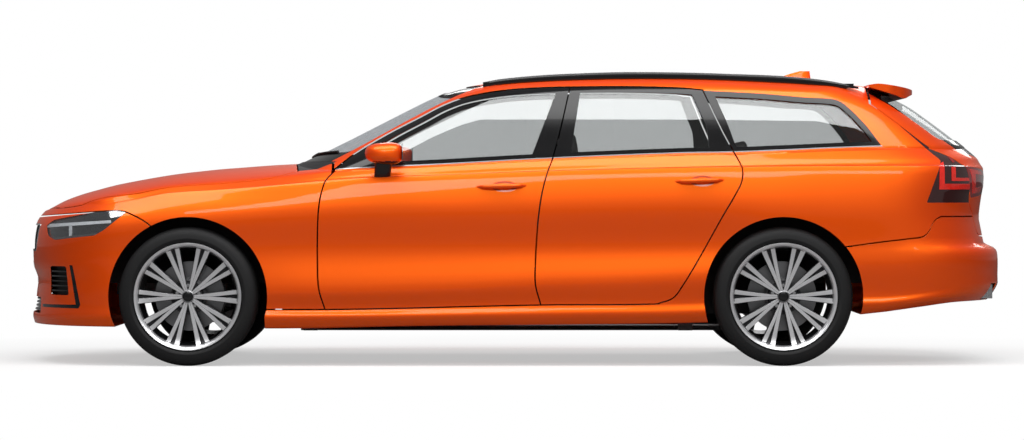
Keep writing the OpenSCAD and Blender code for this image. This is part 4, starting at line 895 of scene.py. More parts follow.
# rear end
rear = keep(shell, prism(np.vstack([[(1625, 0)], refine([(a, b - 7) for a, b in BUMPER_SPLIT], 4),
                                    [(2650, 734), (2650, 0)]]), "y", -1200.0, 1200.0))
pipe_l = box(2200, 2600, -626, -494, 320, 402)
rear = cut(rear, prism(arch_rear, "y", -1200.0, 1200.0), tailgate_solid(GAP, 1900.0), pipe_l,
           both_sides(pipe_l.copy())[1])
painted("rear_bumper_skin", rear, "body", replaces=["rear_bumper"])
TAIL_PANE = round_corners([(600, 1120), (575, 1230), (520, 1345), (-520, 1345), (-575, 1230),
                           (-600, 1120)], 30)
GATE_LAMP = round_corners([(-655, 830), (-380, 850), (-380, 965), (-690, 990), (-690, 900)], 10)
pane_hole = prism(TAIL_PANE, "x", 1850.0, 2650.0)
gate_l = prism(GATE_LAMP, "x", 1850.0, 2650.0)
gate_r = both_sides(gate_l.copy())[1]
gate = boolean(keep(shell, tailgate_solid(0.0, 1788.0)),
               keep(cut(rim_in, boolean(grid_solid("f40", low_grid(40.0)), deep_high, "UNION")),
                    tailgate_solid(-26.0, 1822.0)), "UNION")
hinge_room = box(1768, 1816, -342, -258, 1356, 1420)
gate = cut(gate, pane_hole, gate_l, gate_r, hinge_room, both_sides(hinge_room.copy())[1])
gate_top = prism([(1700, 1385), (1880, 1362), (2100, 1362), (2600, 1362), (2600, 1035),
                  (2340, 1035), (2240, 1060), (2060, 1180), (1880, 1300), (1760, 1372)], "y",
                 -1200.0, 1200.0)
painted("tailgate_skin", cut(gate, gate_top), "tailgate", replaces=["tailgate"])
painted("tailgate_frame", keep(gate, gate_top), "tailgate", mat="band")
piece("tailgate_pane", keep(glass_shell, prism(grown(TAIL_PANE, -0.4), "x", 1850.0, 2650.0)),
      "glass", "tailgate", ["tailgate_glass"], 25)


# ---------------------------------------------------------------- wheels
def lathe(profile, n=120, closed=True):
    """Surface of revolution about the wheel axis from (radius, outward) points."""
    p = np.asarray(profile, float)
    a = np.linspace(0, 2 * math.pi, n, endpoint=False)
    verts = np.array([(r * math.cos(t), -w, r * math.sin(t)) for t in a for r, w in p])
    m = len(p)
    last = m if closed else m - 1
    faces = [(i * m + j, i * m + (j + 1) % m, ((i + 1) % n) * m + (j + 1) % m,
              ((i + 1) % n) * m + j) for i in range(n) for j in range(last)]
    return verts, faces


class Build:
    """Gathers vertices and faces with a finish for each face."""

    def __init__(self):
        self.v, self.f, self.m, self.mats = [], [], [], []

    def add(self, verts, faces, mat):
        if mat not in self.mats:
            self.mats.append(mat)
        o = len(self.v)
        self.v += [tuple(x) for x in verts]
        self.f += [tuple(i + o for i in f) for f in faces]
        self.m += [self.mats.index(mat)] * len(faces)
        return self

    def mesh(self, name, flip=False, shift=(0, 0, 0), recalc=True):
        v = np.array(self.v) * [1, -1 if flip else 1, 1] + np.array(shift)
        me = raw_mesh(name, v, self.f)
        for k in self.mats:
            me.materials.append(M[k])
        me.polygons.foreach_set("material_index", self.m)
        if recalc:
            bm = bmesh.new()
            bm.from_mesh(me)
            bmesh.ops.recalc_face_normals(bm, faces=bm.faces)
            bm.to_mesh(me)
            bm.free()
        return me


def put(name, me, body, replaces=(), angle=35):
    """Places a mesh that already carries its finishes."""
    me.name = name
    o = bpy.data.objects.new(name, me)
    scene.collection.objects.link(o)
    shade(me, angle)
    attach(o, body)
    if replaces:
        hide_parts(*replaces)
    return o


HALF = TYRE_W / 2
side_curve = refine([(RIM_R + 3, HALF - 28), (RIM_R + 13, HALF - 12), (RIM_R + 30, HALF - 1),
                     (TYRE_R - 52, HALF - 1), (TYRE_R - 30, HALF - 6), (TYRE_R - 12, HALF - 18),
                     (TYRE_R - 3, HALF - 34), (TYRE_R, HALF - 52)], 4)
tread = []
for g in (58, 20, -20, -58):
    tread += [(TYRE_R, g + 6), (TYRE_R - 7, g + 5), (TYRE_R - 7, g - 5), (TYRE_R, g - 6)]
tyre_line = list(map(tuple, side_curve)) + tread + [(r, -w) for r, w in side_curve[::-1]]
tyre = Build().add(*lathe(tyre_line, 144), "tyre")
for k in range(72):
    a = 2 * math.pi * k / 72
    for s in (1, -1):
        ring = []
        for r, w, da in ((TYRE_R - 15, HALF - 14.5, 0), (TYRE_R - 1.5, HALF - 37, 0.012),
                         (TYRE_R + 0.0, HALF - 58, 0.03)):
            for q in (-0.010, 0.010):
                ring.append(((r) * math.cos(a + da + q), -s * w, (r) * math.sin(a + da + q)))
        inner = [(x * 0.985, y * 0.97, z * 0.985) for x, y, z in ring]
        tyre.add(ring + inner, [(0, 1, 3, 2), (2, 3, 5, 4), (0, 2, 8, 6), (2, 4, 10, 8),
                                (1, 7, 9, 3), (3, 9, 11, 5), (0, 6, 7, 1), (4, 5, 11, 10)], "tyre")

wheel = Build()
wheel.add(*lathe([(RIM_R - 11, -HALF + 23), (RIM_R - 1, -HALF + 22), (RIM_R - 1, HALF - 23),
                  (RIM_R - 2, HALF - 22), (RIM_R - 11, HALF - 26), (RIM_R - 12, HALF - 60),
                  (RIM_R - 26, 10), (RIM_R - 26, -40), (RIM_R - 12, -70)]), "pocket")
wheel.add(*lathe([(RIM_R - 1.5, HALF - 26), (RIM_R + 9, HALF - 15), (RIM_R + 12, HALF - 8),
                  (RIM_R + 10, HALF - 5), (RIM_R + 3, HALF - 7), (RIM_R - 4, HALF - 14),
                  (RIM_R - 8, HALF - 24), (RIM_R - 12, HALF - 34)]), "alloy")
wheel.add(*lathe([(18, 40), (74, 40), (78, 62), (72, 74), (46, 78), (18, 76)]), "pocket")
wheel.add(*lathe([(0.2, 95), (14, 94.5), (22, 92), (25, 87), (25, 70), (0.2, 70)]), "black")
wheel.add(*lathe([(24, 91), (26, 94), (29, 93), (31, 78), (24, 76)]), "satin")
wheel.add(*lathe([(60, -42), (172, -42), (172, -34), (60, -34)]), "disc")
wheel.add(*lathe([(60, -28), (172, -28), (172, -20), (60, -20)]), "disc")
wheel.add(*lathe([(60, -34), (166, -34), (166, -28), (60, -28)]), "pocket")
wheel.add(*lathe([(50, -20), (92, -20), (90, 30), (72, 42), (50, 42)]), "gear")
for i in range(5):
    base = math.radians(54 + 72 * i)
    for k in (-1, 1):
        rows = []
        for t in np.linspace(0, 1, 15):
            r = mix(27.0, 252.0, t)
            mid = k * mix(9.0, 80.0, t ** 1.05)
            wf = mix(9.0, 38.0, t ** 1.2)
            gr = max(0.4, (t - 0.36) * 20.0)
            dip = 0.3 if t < 0.36 else min(16.0, (t - 0.36) * 60.0)
            zf = mix(86.0, 95.0, t) + (8.0 * max(0, (t - 0.8) / 0.2) ** 2)
            back = wf + 3.5
            sect = [(-back, zf - 36), (-wf - 1.5, zf - 3), (-wf, zf), (-gr, zf),
                    (-gr * 0.7, zf - dip), (gr * 0.7, zf - dip), (gr, zf), (wf, zf),
                    (wf + 1.5, zf - 3), (back, zf - 36)]
            r_eff = math.sqrt(max(r * r - (mid * 0.9) ** 2, 1.0)) if t > 0.2 else r
            rows.append([((r_eff) * math.cos(base) - (mid + u) * math.sin(base), -z,
                          (r_eff) * math.sin(base) + (mid + u) * math.cos(base))
                         for u, z in sect])
        verts = [p for row in rows for p in row]
        n = 10
        face, side = [], []
        for a in range(len(rows) - 1):
            for b in range(n):
                q = (a * n + b, a * n + (b + 1) % n, (a + 1) * n + (b + 1) % n, (a + 1) * n + b)
                (face if b in (2, 6) else side).append(q)
        caps = [tuple(range(n)), tuple((len(rows) - 1) * n + b for b in range(n - 1, -1, -1))]
        wheel.add(verts, side + caps, "pocket")
        wheel.add(verts, face, "alloy")
    ba = math.radians(90 + 72 * i)
    cx, cz = 56 * math.cos(ba), 56 * math.sin(ba)
    for r, z0, z1, mat, sides in ((13, 60, 77, "pocket", 24), (9.0, 70, 86, "steel", 6),
                                  (5.5, 84, 88.5, "steel", 12)):
        ring = [(cx + r * math.cos(2 * math.pi * q / sides), -z,
                 cz + r * math.sin(2 * math.pi * q / sides)) for z in (z0, z1) for q in range(sides)]
        wheel.add(ring, [(q, (q + 1) % sides, (q + 1) % sides + sides, q + sides)
                         for q in range(sides)] + [tuple(range(sides, 2 * sides))], mat)
for end, x in (("front", FRONT_X), ("rear", REAR_X)):
    for side_name, s in SIDES:
        b = "wheel_%s_%s" % (end, side_name)
        at = (x, (1 if s else -1) * WHEEL_Y, TYRE_R)
        put("tyre_%s_%s_rubber" % (end, side_name), tyre.mesh("tyre", bool(s), at), b,
            ["tyre_%s_%s" % (end, side_name)])
        put("rim_%s_%s_alloy" % (end, side_name), wheel.mesh("rim", bool(s), at), b,
            ["rim_%s_%s" % (end, side_name)], 30)

# ---------------------------------------------------------------- outer trim on the sides
outer_tree = BVHTree.FromPolygons([v.co.copy() for v in outer.vertices],
                                  [tuple(p.vertices) for p in outer.polygons])


def wall_y(x, z):
    """How far out the left side stands at a point of its outline, in millimetres."""
    hit = outer_tree.ray_cast(Vector((x * MM, -1.3, z * MM)), Vector((0, 1, 0)))[0]
    return hit[1] / MM if hit is not None else -HALF_W


def loft(rows):
    """Tube of faces through equal closed rows of points, with a flat cap at each end."""
    n, m = rows.shape[:2]
    faces = [(a * m + b, a * m + (b + 1) % m, (a + 1) * m + (b + 1) % m, (a + 1) * m + b)
             for a in range(n - 1) for b in range(m)]
    faces += [tuple(range(m)), tuple((n - 1) * m + b for b in range(m - 1, -1, -1))]
    return rows.reshape(-1, 3), faces


def sweep(path, section):
    """Loft through the rows section(t), one for each t of path."""
    return loft(np.array([section(t) for t in path]))


def handle(x0, x1, zc, tilt):
    """Pull handle with rounded ends standing off the door, over a shallow cup in darker paint, painted
    shade for the recess behind the handle.
    """
    b = Build()
    ts = np.linspace(0, 1, 25)

    def section(t):
        x = mix(x0, x1, t)
        z = zc + tilt * (t - 0.5)
        y = wall_y(x, z)
        end = math.sin(math.pi * min(1, max(0.0, t))) ** 0.35 if 0 < t < 1 else 0.05
        h, d = 11.5 * max(end, 0.1), 24.0 * max(end, 0.15)
        lift = 5.0 * (1 if 0.12 < t < 0.88 else -1)
        a = np.linspace(0, 2 * math.pi, 14, endpoint=False)
        return [(x, y - lift - d / 2 + d / 2 * math.copysign(abs(math.cos(q)) ** 0.7, math.cos(q)),
                 z + h * math.copysign(abs(math.sin(q)) ** 0.7, math.sin(q))) for q in a]
    b.add(*sweep(ts, section), "paint")
    # The cup is a nearly flat disc on the skin; its darker colour is painted shade for the recess behind
    # the handle.
    cx = mix(x0, x1, 0.56)
    ring, faces = [], []
    rs = (1.0, 0.85, 0.5, 0.12)
    for k, r in enumerate(rs):
        for q in np.linspace(0, 2 * math.pi, 28, endpoint=False):
            x, z = cx + 62 * r * math.cos(q), zc - 2 + 27 * r * math.sin(q)
            ring.append((x, wall_y(x, z) - 0.6 + 0.4 * k, z))
    for k in range(len(rs) - 1):
        faces += [(k * 28 + q, k * 28 + (q + 1) % 28, (k + 1) * 28 + (q + 1) % 28,
                   (k + 1) * 28 + q) for q in range(28)]
    faces.append(tuple(range(84, 112)))
    b.add(ring, faces, "cup_painted_shade")
    return b


# Darker, duller orange than the body paint: painted shade for the handle recess.
M["cup_painted_shade"] = finish_node("handle_cup_painted_shade", (0.50, 0.055, 0.002), 0.4, metal=0.3, coat=0.8, scale=300.0)
for end, x0, x1, zc, tilt in (("front", -187, 64, 888, 6), ("rear", 791, 1038, 915, 7)):
    for side_name, s in SIDES:
        b = "%s_door_%s" % (end, side_name)
        put(b + "_handle", handle(x0, x1, zc, tilt).mesh("handle", bool(s)), b)

# bright strip along the belt
proud = cut(grid_solid("gm", high_grid(-1.6)), grid_solid("gp", high_grid(3.0)))
xs = np.linspace(-1000, 1850, 70)
bz = curve(BELT_Z, xs)
strip = keep(proud, side_solid(np.vstack([np.stack([xs, bz + 9], 1),
                                          np.stack([xs, bz + 13.5], 1)[::-1]])), window_zone(-3.0))
body_strip = cut(strip, side_solid(grown(front_door_line, GAP)),
                 side_solid(grown(rear_door_line, GAP)))
strips = {"body": body_strip, "front_door": keep(strip, side_solid(front_door_line)),
          "rear_door": keep(strip, side_solid(rear_door_line))}
for key, me in strips.items():
    for side_name, s in SIDES:
        m = both_sides(me.copy())[1] if s else me.copy()
        b = "body" if key == "body" else key + "_" + side_name
        piece("belt_strip_%s_%s" % (key, side_name), m, "satin", b, (), 30)


# ---------------------------------------------------------------- mirrors, rails, fin, spoiler
def puff(n_u, n_v, point):
    """Closed ball-like surface from point(u, v), u round it and v from pole to pole."""
    vs = np.linspace(0.04, math.pi - 0.04, n_v)
    us = np.linspace(0, 2 * math.pi, n_u, endpoint=False)
    verts = [point(u, v) for v in vs for u in us]
    faces = [(a * n_u + b, a * n_u + (b + 1) % n_u, (a + 1) * n_u + (b + 1) % n_u,
              (a + 1) * n_u + b) for a in range(n_v - 1) for b in range(n_u)]
    faces += [tuple(range(n_u)), tuple((n_v - 1) * n_u + b for b in range(n_u - 1, -1, -1))]
    return verts, faces


def sgn_pow(c, p):
    return math.copysign(abs(c) ** p, c)


def mirror_cap(u, v):
    """Rounded housing: blunt at the back where the glass sits, drawn in toward the front."""
    cx, cy, cz = -632.0, -950.0, 1049.0
    x = -sgn_pow(math.cos(u), 0.62) * sgn_pow(math.sin(v), 0.8)
    z = sgn_pow(math.sin(u), 0.75) * sgn_pow(math.sin(v), 0.8)
    y = -sgn_pow(math.cos(v), 0.75)
    back = (x + 1) / 2
    px = cx + x * 86.0 - 14 * (y + 1) * (1 - back)
    if px > -552.0:
        px = -552.0
    return (px, cy + y * 72.0, cz + z * mix(44.0, 58.0, back ** 0.7) + 4 * y)


for side_name, s in SIDES:
    b = "front_door_" + side_name
    cap = Build()
    cap.add(*puff(40, 28, mirror_cap), "paint")
    whole = cap.mesh("cap", False)
    for p in whole.polygons:
        if p.center.z < 1.010:
            p.material_index = 1
    whole.materials.append(M["black"])
    if s:
        whole = both_sides(whole)[1]
    put("mirror_cap_" + side_name, whole, b, ["mirror_" + side_name], 50)
    low_bits = Build()
    foot = []
    for t in np.linspace(0, 1, 12):
        cz = mix(1022.0, 930.0, t)
        cxx = mix(-640.0, -652.0, t)
        wy = mix(26.0, 18.0, t)
        yy = mix(-938.0, wall_y(-650, 935) + 4, t ** 1.2)
        rx = mix(44.0, 40.0, t)
        foot.append([(cxx + rx * sgn_pow(math.cos(q), 0.6), yy + wy * sgn_pow(math.sin(q), 0.6),
                      cz) for q in np.linspace(0, 2 * math.pi, 20, endpoint=False)])
    foot = np.array(foot)
    n, m = foot.shape[:2]
    low_bits.add(foot.reshape(-1, 3), [(a * m + k, a * m + (k + 1) % m, (a + 1) * m + (k + 1) % m,
                 (a + 1) * m + k) for a in range(n - 1) for k in range(m)]
                 + [tuple(range(m)), tuple((n - 1) * m + k for k in range(m - 1, -1, -1))], "black")
    face = []
    for k, (sc, x) in enumerate(((0.90, -551.0), (0.86, -549.4), (0.82, -549.0))):
        face += [(x, -950 + 64 * sc * sgn_pow(math.cos(q), 0.6),
                  1057 + 48 * sc * sgn_pow(math.sin(q), 0.6))
                 for q in np.linspace(0, 2 * math.pi, 32, endpoint=False)]
    low_bits.add(face, [(k * 32 + q, k * 32 + (q + 1) % 32, (k + 1) * 32 + (q + 1) % 32,
                         (k + 1) * 32 + q) for k in range(2) for q in range(32)], "black")
    low_bits.add(face[64:], [tuple(range(32))], "mirror")
    put("mirror_foot_" + side_name, low_bits.mesh("foot", bool(s)), b, (), 40)

RAIL = [(-156, 1411), (-60, 1428), (150, 1447), (358, 1457), (564, 1462), (846, 1460),
        (1055, 1454), (1353, 1442), (1560, 1421), (1732, 1388)]
rail_pts = refine(RAIL, 8)
rail_rows = []
for i, (x, z) in enumerate(rail_pts):
    u = i / (len(rail_pts) - 1)
    near = min(u, 1 - u)
    roof_z = float(curve(ROOF_Z, x) - crown(560.0))
    thick = max(z - roof_z + 4, 5.0)
    half = 13.0 * min(1.0, 0.25 + near / 0.05)
    rail_rows.append([(x, -560 + half * sgn_pow(math.cos(q), 0.5),
                       z - thick / 2 + thick / 2 * sgn_pow(math.sin(q), 0.5))
                      for q in np.linspace(0, 2 * math.pi, 16, endpoint=False)])
rail_rows = np.array(rail_rows)
n, m = rail_rows.shape[:2]
rail_faces = [(a * m + k, a * m + (k + 1) % m, (a + 1) * m + (k + 1) % m, (a + 1) * m + k)
              for a in range(n - 1) for k in range(m)]
rail_faces += [tuple(range(m)), tuple((n - 1) * m + k for k in range(m - 1, -1, -1))]
for side_name, s in SIDES:
    r = Build().add(rail_rows.reshape(-1, 3), rail_faces, "black")
    for x in (-110.0, 1660.0):
        z = float(curve(ROOF_Z, x) - crown(560.0))
        r.add([(x + dx, -560 + dy, z + dz) for dz in (-6, 16) for dx, dy in
               ((-46, -11), (46, -11), (46, 11), (-46, 11))],
              [(0, 1, 2, 3), (7, 6, 5, 4), (0, 4, 5, 1), (1, 5, 6, 2), (2, 6, 7, 3), (3, 7, 4, 0)],
              "black")
    put("roof_rail_" + side_name, r.mesh("rail", bool(s)), "body",
        ["roof_rails"] if s == 0 else (), 40)

fin_rows = []
for t in np.linspace(0, 1, 14):
    z = mix(1424.0, 1484.0, t)
    x0, x1 = mix(1352.0, 1478.0, t ** 2.0), mix(1536.0, 1528.0, t)
    w = mix(20.0, 4.0, t ** 0.7)
    fin_rows.append([(mix(x0, x1, 0.5 - 0.5 * math.cos(q)), w * math.sin(q) *
                      (0.55 + 0.45 * (0.5 - 0.5 * math.cos(q))), z)
                     for q in np.linspace(0, 2 * math.pi, 28, endpoint=False)])
fin_rows = np.array(fin_rows)
n, m = fin_rows.shape[:2]
fin = Build().add(fin_rows.reshape(-1, 3), [(a * m + k, a * m + (k + 1) % m,
                  (a + 1) * m + (k + 1) % m, (a + 1) * m + k) for a in range(n - 1)
                  for k in range(m)] + [tuple((n - 1) * m + k for k in range(m - 1, -1, -1))],
                  "paint")
put("roof_fin", fin.mesh("fin"), "body", (), 50)

wing_side = np.vstack([refine([(1783, 1398), (1830, 1404), (1894, 1397), (1960, 1386),
                               (2014, 1375)], 4), refine([(2014, 1375), (2028, 1368),
                              (2022, 1356), (1990, 1340), (1965, 1330), (1900, 1352),
                              (1783, 1386)], 4)[1:]])
wing_plan = np.vstack([[(1780, -580)], refine([(1900, -566), (1965, -526), (2010, -430),
            (2028, -250), (2031, 0), (2028, 250), (2010, 430), (1965, 526), (1900, 566)], 5),
            [(1780, 580)]])
wing = keep(prism(wing_side, "y", -580.0, 580.0), prism(wing_plan, "z", 1300.0, 1500.0))
piece("spoiler_wing", wing, "paint", "tailgate", (), 32)

# ---------------------------------------------------------------- lamps
def layer(e_out, e_in, cutter, high=False):
    """Slice of body between two depths inside a cutter."""
    a, b = grid_solid("la", low_grid(e_out)), grid_solid("lb", low_grid(e_in))
    if high:
        a = boolean(a, grid_solid("ha", high_grid(e_out)), "UNION")
        b = boolean(b, grid_solid("hb", high_grid(e_in)), "UNION")
    return keep(cut(a, b), cutter)


def side_pieces(stem, me, mat, body, replaces, smooth):
    """A left piece and its mirror image; the left one stands for the CAD nodes named."""
    for side_name, s in SIDES:
        m = both_sides(me.copy())[1] if s else me.copy()
        piece(stem + side_name, m, mat, body, () if s else replaces, smooth)


lamp_left = cut(side_solid(HEAD_LAMP, 440.0), hood_solid(GAP, 742.0), hood_solid(-8.0, 700.0))
lamp_box = layer(9.0, 55.0, lamp_left)
lamp_bar = layer(4.0, 9.0, keep(lamp_left, side_solid([(-2420, 676), (-1990, 706),
                 (-1990, 720), (-2420, 694)], 440.0)))
lamp_low = layer(4.0, 9.0, keep(lamp_left, side_solid([(-2330, 636), (-2292, 632), (-2155, 646),
                 (-2060, 656), (-2060, 648), (-2155, 636), (-2330, 618)], 440.0)))
lamp_drop = layer(4.0, 9.0, keep(lamp_left, side_solid([(-2210, 690), (-2192, 690), (-2192, 640),
                 (-2210, 640)], 440.0)))
lamp_lens = layer(0.0, 2.0, lamp_left)
lamp_parts = (("housing", lamp_box, "lamp_body"), ("bar", lamp_bar, "white"),
              ("sill", lamp_low, "satin"),
              ("drop", lamp_drop, "white"), ("lens", lamp_lens, "lens"))
M["lens"] = glass_node("lamp_lens", (0.93, 0.94, 0.95), 0.10)
for key, me, mat in lamp_parts:
    side_pieces("headlamp_%s_" % key, me, mat, "body",
                ["headlamps"] if key == "housing" else (), 25)

M["glow"] = finish_node("lamp_bright_red", (0.75, 0.012, 0.006), 0.1, coat=1.0, scale=60.0,
                        second=(0.85, 0.02, 0.008))
gate_free = tailgate_solid(GAP, 1700.0)
strip_zone = cut(side_solid(grown(LAMP_STRIP, -0.3), 430.0), gate_free,
                 box(1900, 2600, -1200, 1200, 0, 740))
rear_base = layer(0.6, 50.0, strip_zone, True)
rear_red = layer(-1.2, 3.0, keep(strip_zone, side_solid([(2110, 1000), (2135, 1010), (2135, 900),
                 (2300, 900), (2300, 872), (2105, 872)], 640.0)), True)
rear_red2 = layer(-1.0, 3.0, keep(strip_zone, side_solid([(2172, 985), (2196, 985), (2196, 930),
                 (2300, 930), (2300, 914), (2172, 914)], 640.0)), True)
rear_line = layer(-1.0, 3.0, keep(strip_zone, side_solid([(1905, 1292), (1925, 1285),
                 (2150, 1075), (2200, 1010), (2186, 1004), (2140, 1062)], 430.0)), True)
for key, me, mat in (("base", rear_base, "smoke"), ("c_bar", rear_red, "glow"),
                     ("c_in", rear_red2, "glow"), ("riser", rear_line, "red")):
    side_pieces("taillamp_%s_" % key, me, mat, "body",
                ["tail_lamps"] if key == "base" else (), 25)
gate_lens = layer(0.0, 36.0, prism(grown(GATE_LAMP, -0.3), "x", 1850.0, 2650.0))
gate_red = layer(-1.2, 3.0, prism(round_corners([(-640, 850), (-400, 866), (-400, 890),
                 (-612, 880), (-612, 950), (-400, 940), (-400, 955), (-668, 975)], 4),
                 "x", 1850.0, 2650.0))
for key, me, mat in (("gate_base", gate_lens, "red"), ("gate_bar", gate_red, "glow")):
    side_pieces("taillamp_%s_" % key, me, mat, "tailgate",
                ["tailgate_lamps"] if key == "gate_base" else (), 25)

# ---------------------------------------------------------------- front and rear trim
rear_wiper = layer(-13.0, 3.0, prism(round_corners([(-36, 1064), (340, 1076), (340, 1088),
                   (-36, 1096)], 5), "x", 1850.0, 2650.0))
piece("rear_wiper", rear_wiper, "dark", "tailgate", (), 30)
grille_hole = prism(grown(GRILLE_UP, -0.2), "x", -2600.0, -2100.0)
low_hole = prism(grown(GRILLE_LOW, -0.2), "x", -2600.0, -2100.0)
ring = layer(-1.0, 14.0, cut(grille_hole, prism(grown(GRILLE_UP, -9.0), "x", -2600.0, -2100.0)))
slat_depth = layer(7.0, 30.0, grille_hole)
slats = None
for y in np.linspace(-440, 440, 23):
    one = keep(slat_depth, box(-2600, -2000, y - 3.2, y + 3.2, 500, 760))
    slats = one if slats is None else boolean(slats, one, "UNION")
backing = layer(32.0, 38.0, grille_hole)
low_back = layer(32.0, 38.0, low_hole)
low_slats = None
low_depth = layer(6.0, 30.0, low_hole)
for z in (266, 284, 302, 320):
    one = keep(low_depth, box(-2600, -2000, -560, 560, z - 3, z + 3))
    low_slats = one if low_slats is None else boolean(low_slats, one, "UNION")
piece("grille_ring", ring, "chrome", "body", ["grille"], 30)
piece("grille_slats", slats, "black", "body", (), 30)
piece("grille_back", backing, "mesh", "body", (), 30)
piece("lower_back", low_back, "mesh", "body", (), 30)
piece("lower_slats", low_slats, "black", "body", (), 30)
intake = side_solid(grown(SIDE_INTAKE, -0.2), 440.0)
intake_back = layer(26.0, 34.0, intake)
fins = None
fin_depth = layer(3.0, 26.0, intake)
for z in (368, 392, 416, 440, 464):
    one = keep(fin_depth, side_solid([(-2330, z - 4), (-2200, z - 2), (-2200, z + 4),
                                      (-2330, z + 4)], 440.0))
    fins = one if fins is None else boolean(fins, one, "UNION")
slot_trim = layer(-0.8, 4.0, side_solid([(-2372, 283), (-2158, 283), (-2148, 300), (-2190, 496),
                  (-2206, 496), (-2172, 301), (-2372, 297)], 440.0))
for key, me, mat in (("back", intake_back, "mesh"), ("fins", fins, "black"),
                     ("slot", slot_trim, "black")):
    side_pieces("intake_%s_" % key, me, mat, "body", (), 30)
plate = layer(-2.0, 3.0, prism(round_corners([(-260, 400), (260, 400), (260, 512), (-260, 512)],
                                             10), "x", -2600.0, -2100.0))
piece("front_plate_blank", plate, "white", "body", (), 30)
rear_plate = layer(-1.0, 4.0, prism(round_corners([(-260, 686), (260, 686), (260, 798),
                                                   (-260, 798)], 10), "x", 1850.0, 2650.0))
piece("rear_plate_blank", rear_plate, "white", "tailgate", (), 30)
diffuser = layer(-1.0, 4.0, prism(round_corners([(-480, 312), (480, 312), (440, 404),
                 (-440, 404)], 20), "x", 1850.0, 2650.0))
piece("rear_diffuser", diffuser, "dark", "body", (), 30)

for side_name, s in SIDES:
    tip = Build()
    rows = []
    for x, g in ((2200, 0), (2392, 0), (2398, -1.5), (2398, -6), (2380, -8), (2200, -8)):
        out_l = round_corners([(-622 - g, 330 - g), (-500 + g, 330 - g), (-514 + g, 396 + g),
                               (-608 - g, 396 + g)], 16, 5)
        rows.append([(x - (396 - z) * 0.75, y, z) for y, z in out_l])
    rows = np.array(rows)
    n, m = rows.shape[:2]
    faces = [(a * m + k, a * m + (k + 1) % m, (a + 1) * m + (k + 1) % m, (a + 1) * m + k)
             for a in range(n - 1) for k in range(m)]
    tip.add(rows.reshape(-1, 3), faces, "chrome")
    tip.add(rows[-1] * [1, 1, 1], [tuple(range(m))], "mesh")
    put("exhaust_tip_" + side_name, tip.mesh("tip", bool(s)), "body", (), 30)

# wipers
def tube(path, r, n=10):
    p = np.array(path, float)
    t = np.gradient(p, axis=0)
    t /= np.linalg.norm(t, axis=1)[:, None]
    up = np.array([0.0, 0.0, 1.0])
    rows = []
    for c, d in zip(p, t):
        a = np.cross(d, up)
        a = a / max(np.linalg.norm(a), 1e-6)
        b = np.cross(a, d)
        rows.append([c + r * (math.cos(q) * a + math.sin(q) * b)
                     for q in np.linspace(0, 2 * math.pi, n, endpoint=False)])
    return loft(np.array(rows))


def on_screen(y, z):
    """Point on the windscreen at a width and height."""
    hit = outer_tree.ray_cast(Vector((-1.6, y * MM, z * MM)), Vector((1, 0, 0)))[0]
    return np.array([hit[0] / MM - 6, y, z]) if hit is not None else np.array([-1000.0, y, z])


wipe = Build()
for y0, y1, z0, z1 in ((560, -60, 1042, 1056), (-30, -610, 1042, 1062)):
    ys = np.linspace(y0, y1, 16)
    wipe.add(*tube([on_screen(y, mix(z0, z1, (y - y0) / (y1 - y0))) for y in ys], 6.0), "dark")
    wipe.add(*tube([on_screen(mix(y0, y0 * 0.55 + y1 * 0.45, t), mix(z0 - 4, mix(z0, z1, 0.45) + 5,
                    t)) + np.array([-5.0, 0, 0]) for t in np.linspace(0, 1, 8)], 5.0), "dark")
put("wipers", wipe.mesh("wipers"), "body", (), 40)


# ---------------------------------------------------------------- seats and cabin
def cushion(name, cx, cy, cz, lx, ly, lz, lean=0.0, body="body", power=0.32, seams=3,
            crown_h=12.0, replaces=()):
    """Stuffed pad: a rounded block with bolsters, sewn channels and a soft crown."""
    n_u, n_v = 72, 44

    def point(u, v):
        x = sgn_pow(math.cos(u), power) * sgn_pow(math.sin(v), power)
        y = sgn_pow(math.sin(u), power) * sgn_pow(math.sin(v), power)
        z = sgn_pow(math.cos(v), power)
        px, py, pz = x * lx / 2, y * ly / 2, z * lz / 2
        if z > 0:
            edge = (1 - abs(x) ** 3) * (1 - abs(y) ** 3)
            bolster = max(0.0, 1 - ((abs(y) - 0.80) / 0.16) ** 2) * crown_h * 1.6
            seam = 0.0
            for k in range(seams):
                at = -0.6 + 1.2 * k / max(seams - 1, 1)
                seam -= 5.0 * math.exp(-((x - at) / 0.035) ** 2)
            side_seam = -5.0 * math.exp(-((abs(y) - 0.62) / 0.03) ** 2)
            pz += edge * (crown_h * (1 - y * y) + seam * (abs(y) < 0.62) + side_seam) \
                + bolster * (1 - abs(x) ** 4)
            pz += 0.8 * math.sin(px * 0.09 + cy) * math.sin(py * 0.07)
        c, s_ = math.cos(lean), math.sin(lean)
        return (cx + px * c - pz * s_, cy + py, cz + px * s_ + pz * c)
    me = Build().add(*puff(n_u, n_v, point), "leather").mesh(name)
    o = put(name, me, body, replaces, 60)
    return o


for side_name, s in SIDES:
    y = 380.0 if s else -380.0
    cushion("seat_cushion_" + side_name, -160.0, y, 434.0, 520.0, 500.0, 118.0, lean=0.10,
            replaces=["front_seats"] if s == 0 else ())
    cushion("seat_back_" + side_name, 186.0, y, 745.0, 600.0, 470.0, 110.0,
            lean=math.radians(103), power=0.34, seams=4)
    cushion("headrest_" + side_name, 278.0, y, 1095.0, 115.0, 250.0, 84.0,
            lean=math.radians(100), power=0.5, seams=0, crown_h=5.0)
    fixings = Build()
    for k in (-1, 1):
        fixings.add(*tube([(262, y + k * 55, 1010), (270, y + k * 55, 1045),
                           (280, y + k * 55, 1075)], 6.5), "steel")
        fixings.add(*tube([(-330, y + k * 170, 236), (-100, y + k * 170, 236),
                           (80, y + k * 170, 236)], 14.0), "dark")
        for x in (-300, 50):
            fixings.add(*tube([(x, y + k * 170, 240), (x + 4, y + k * 168, 310),
                               (x + 10, y + k * 165, 390)], 16.0), "dark")
    put("seat_frame_" + side_name, fixings.mesh("seat_frame"), "body", (), 40)
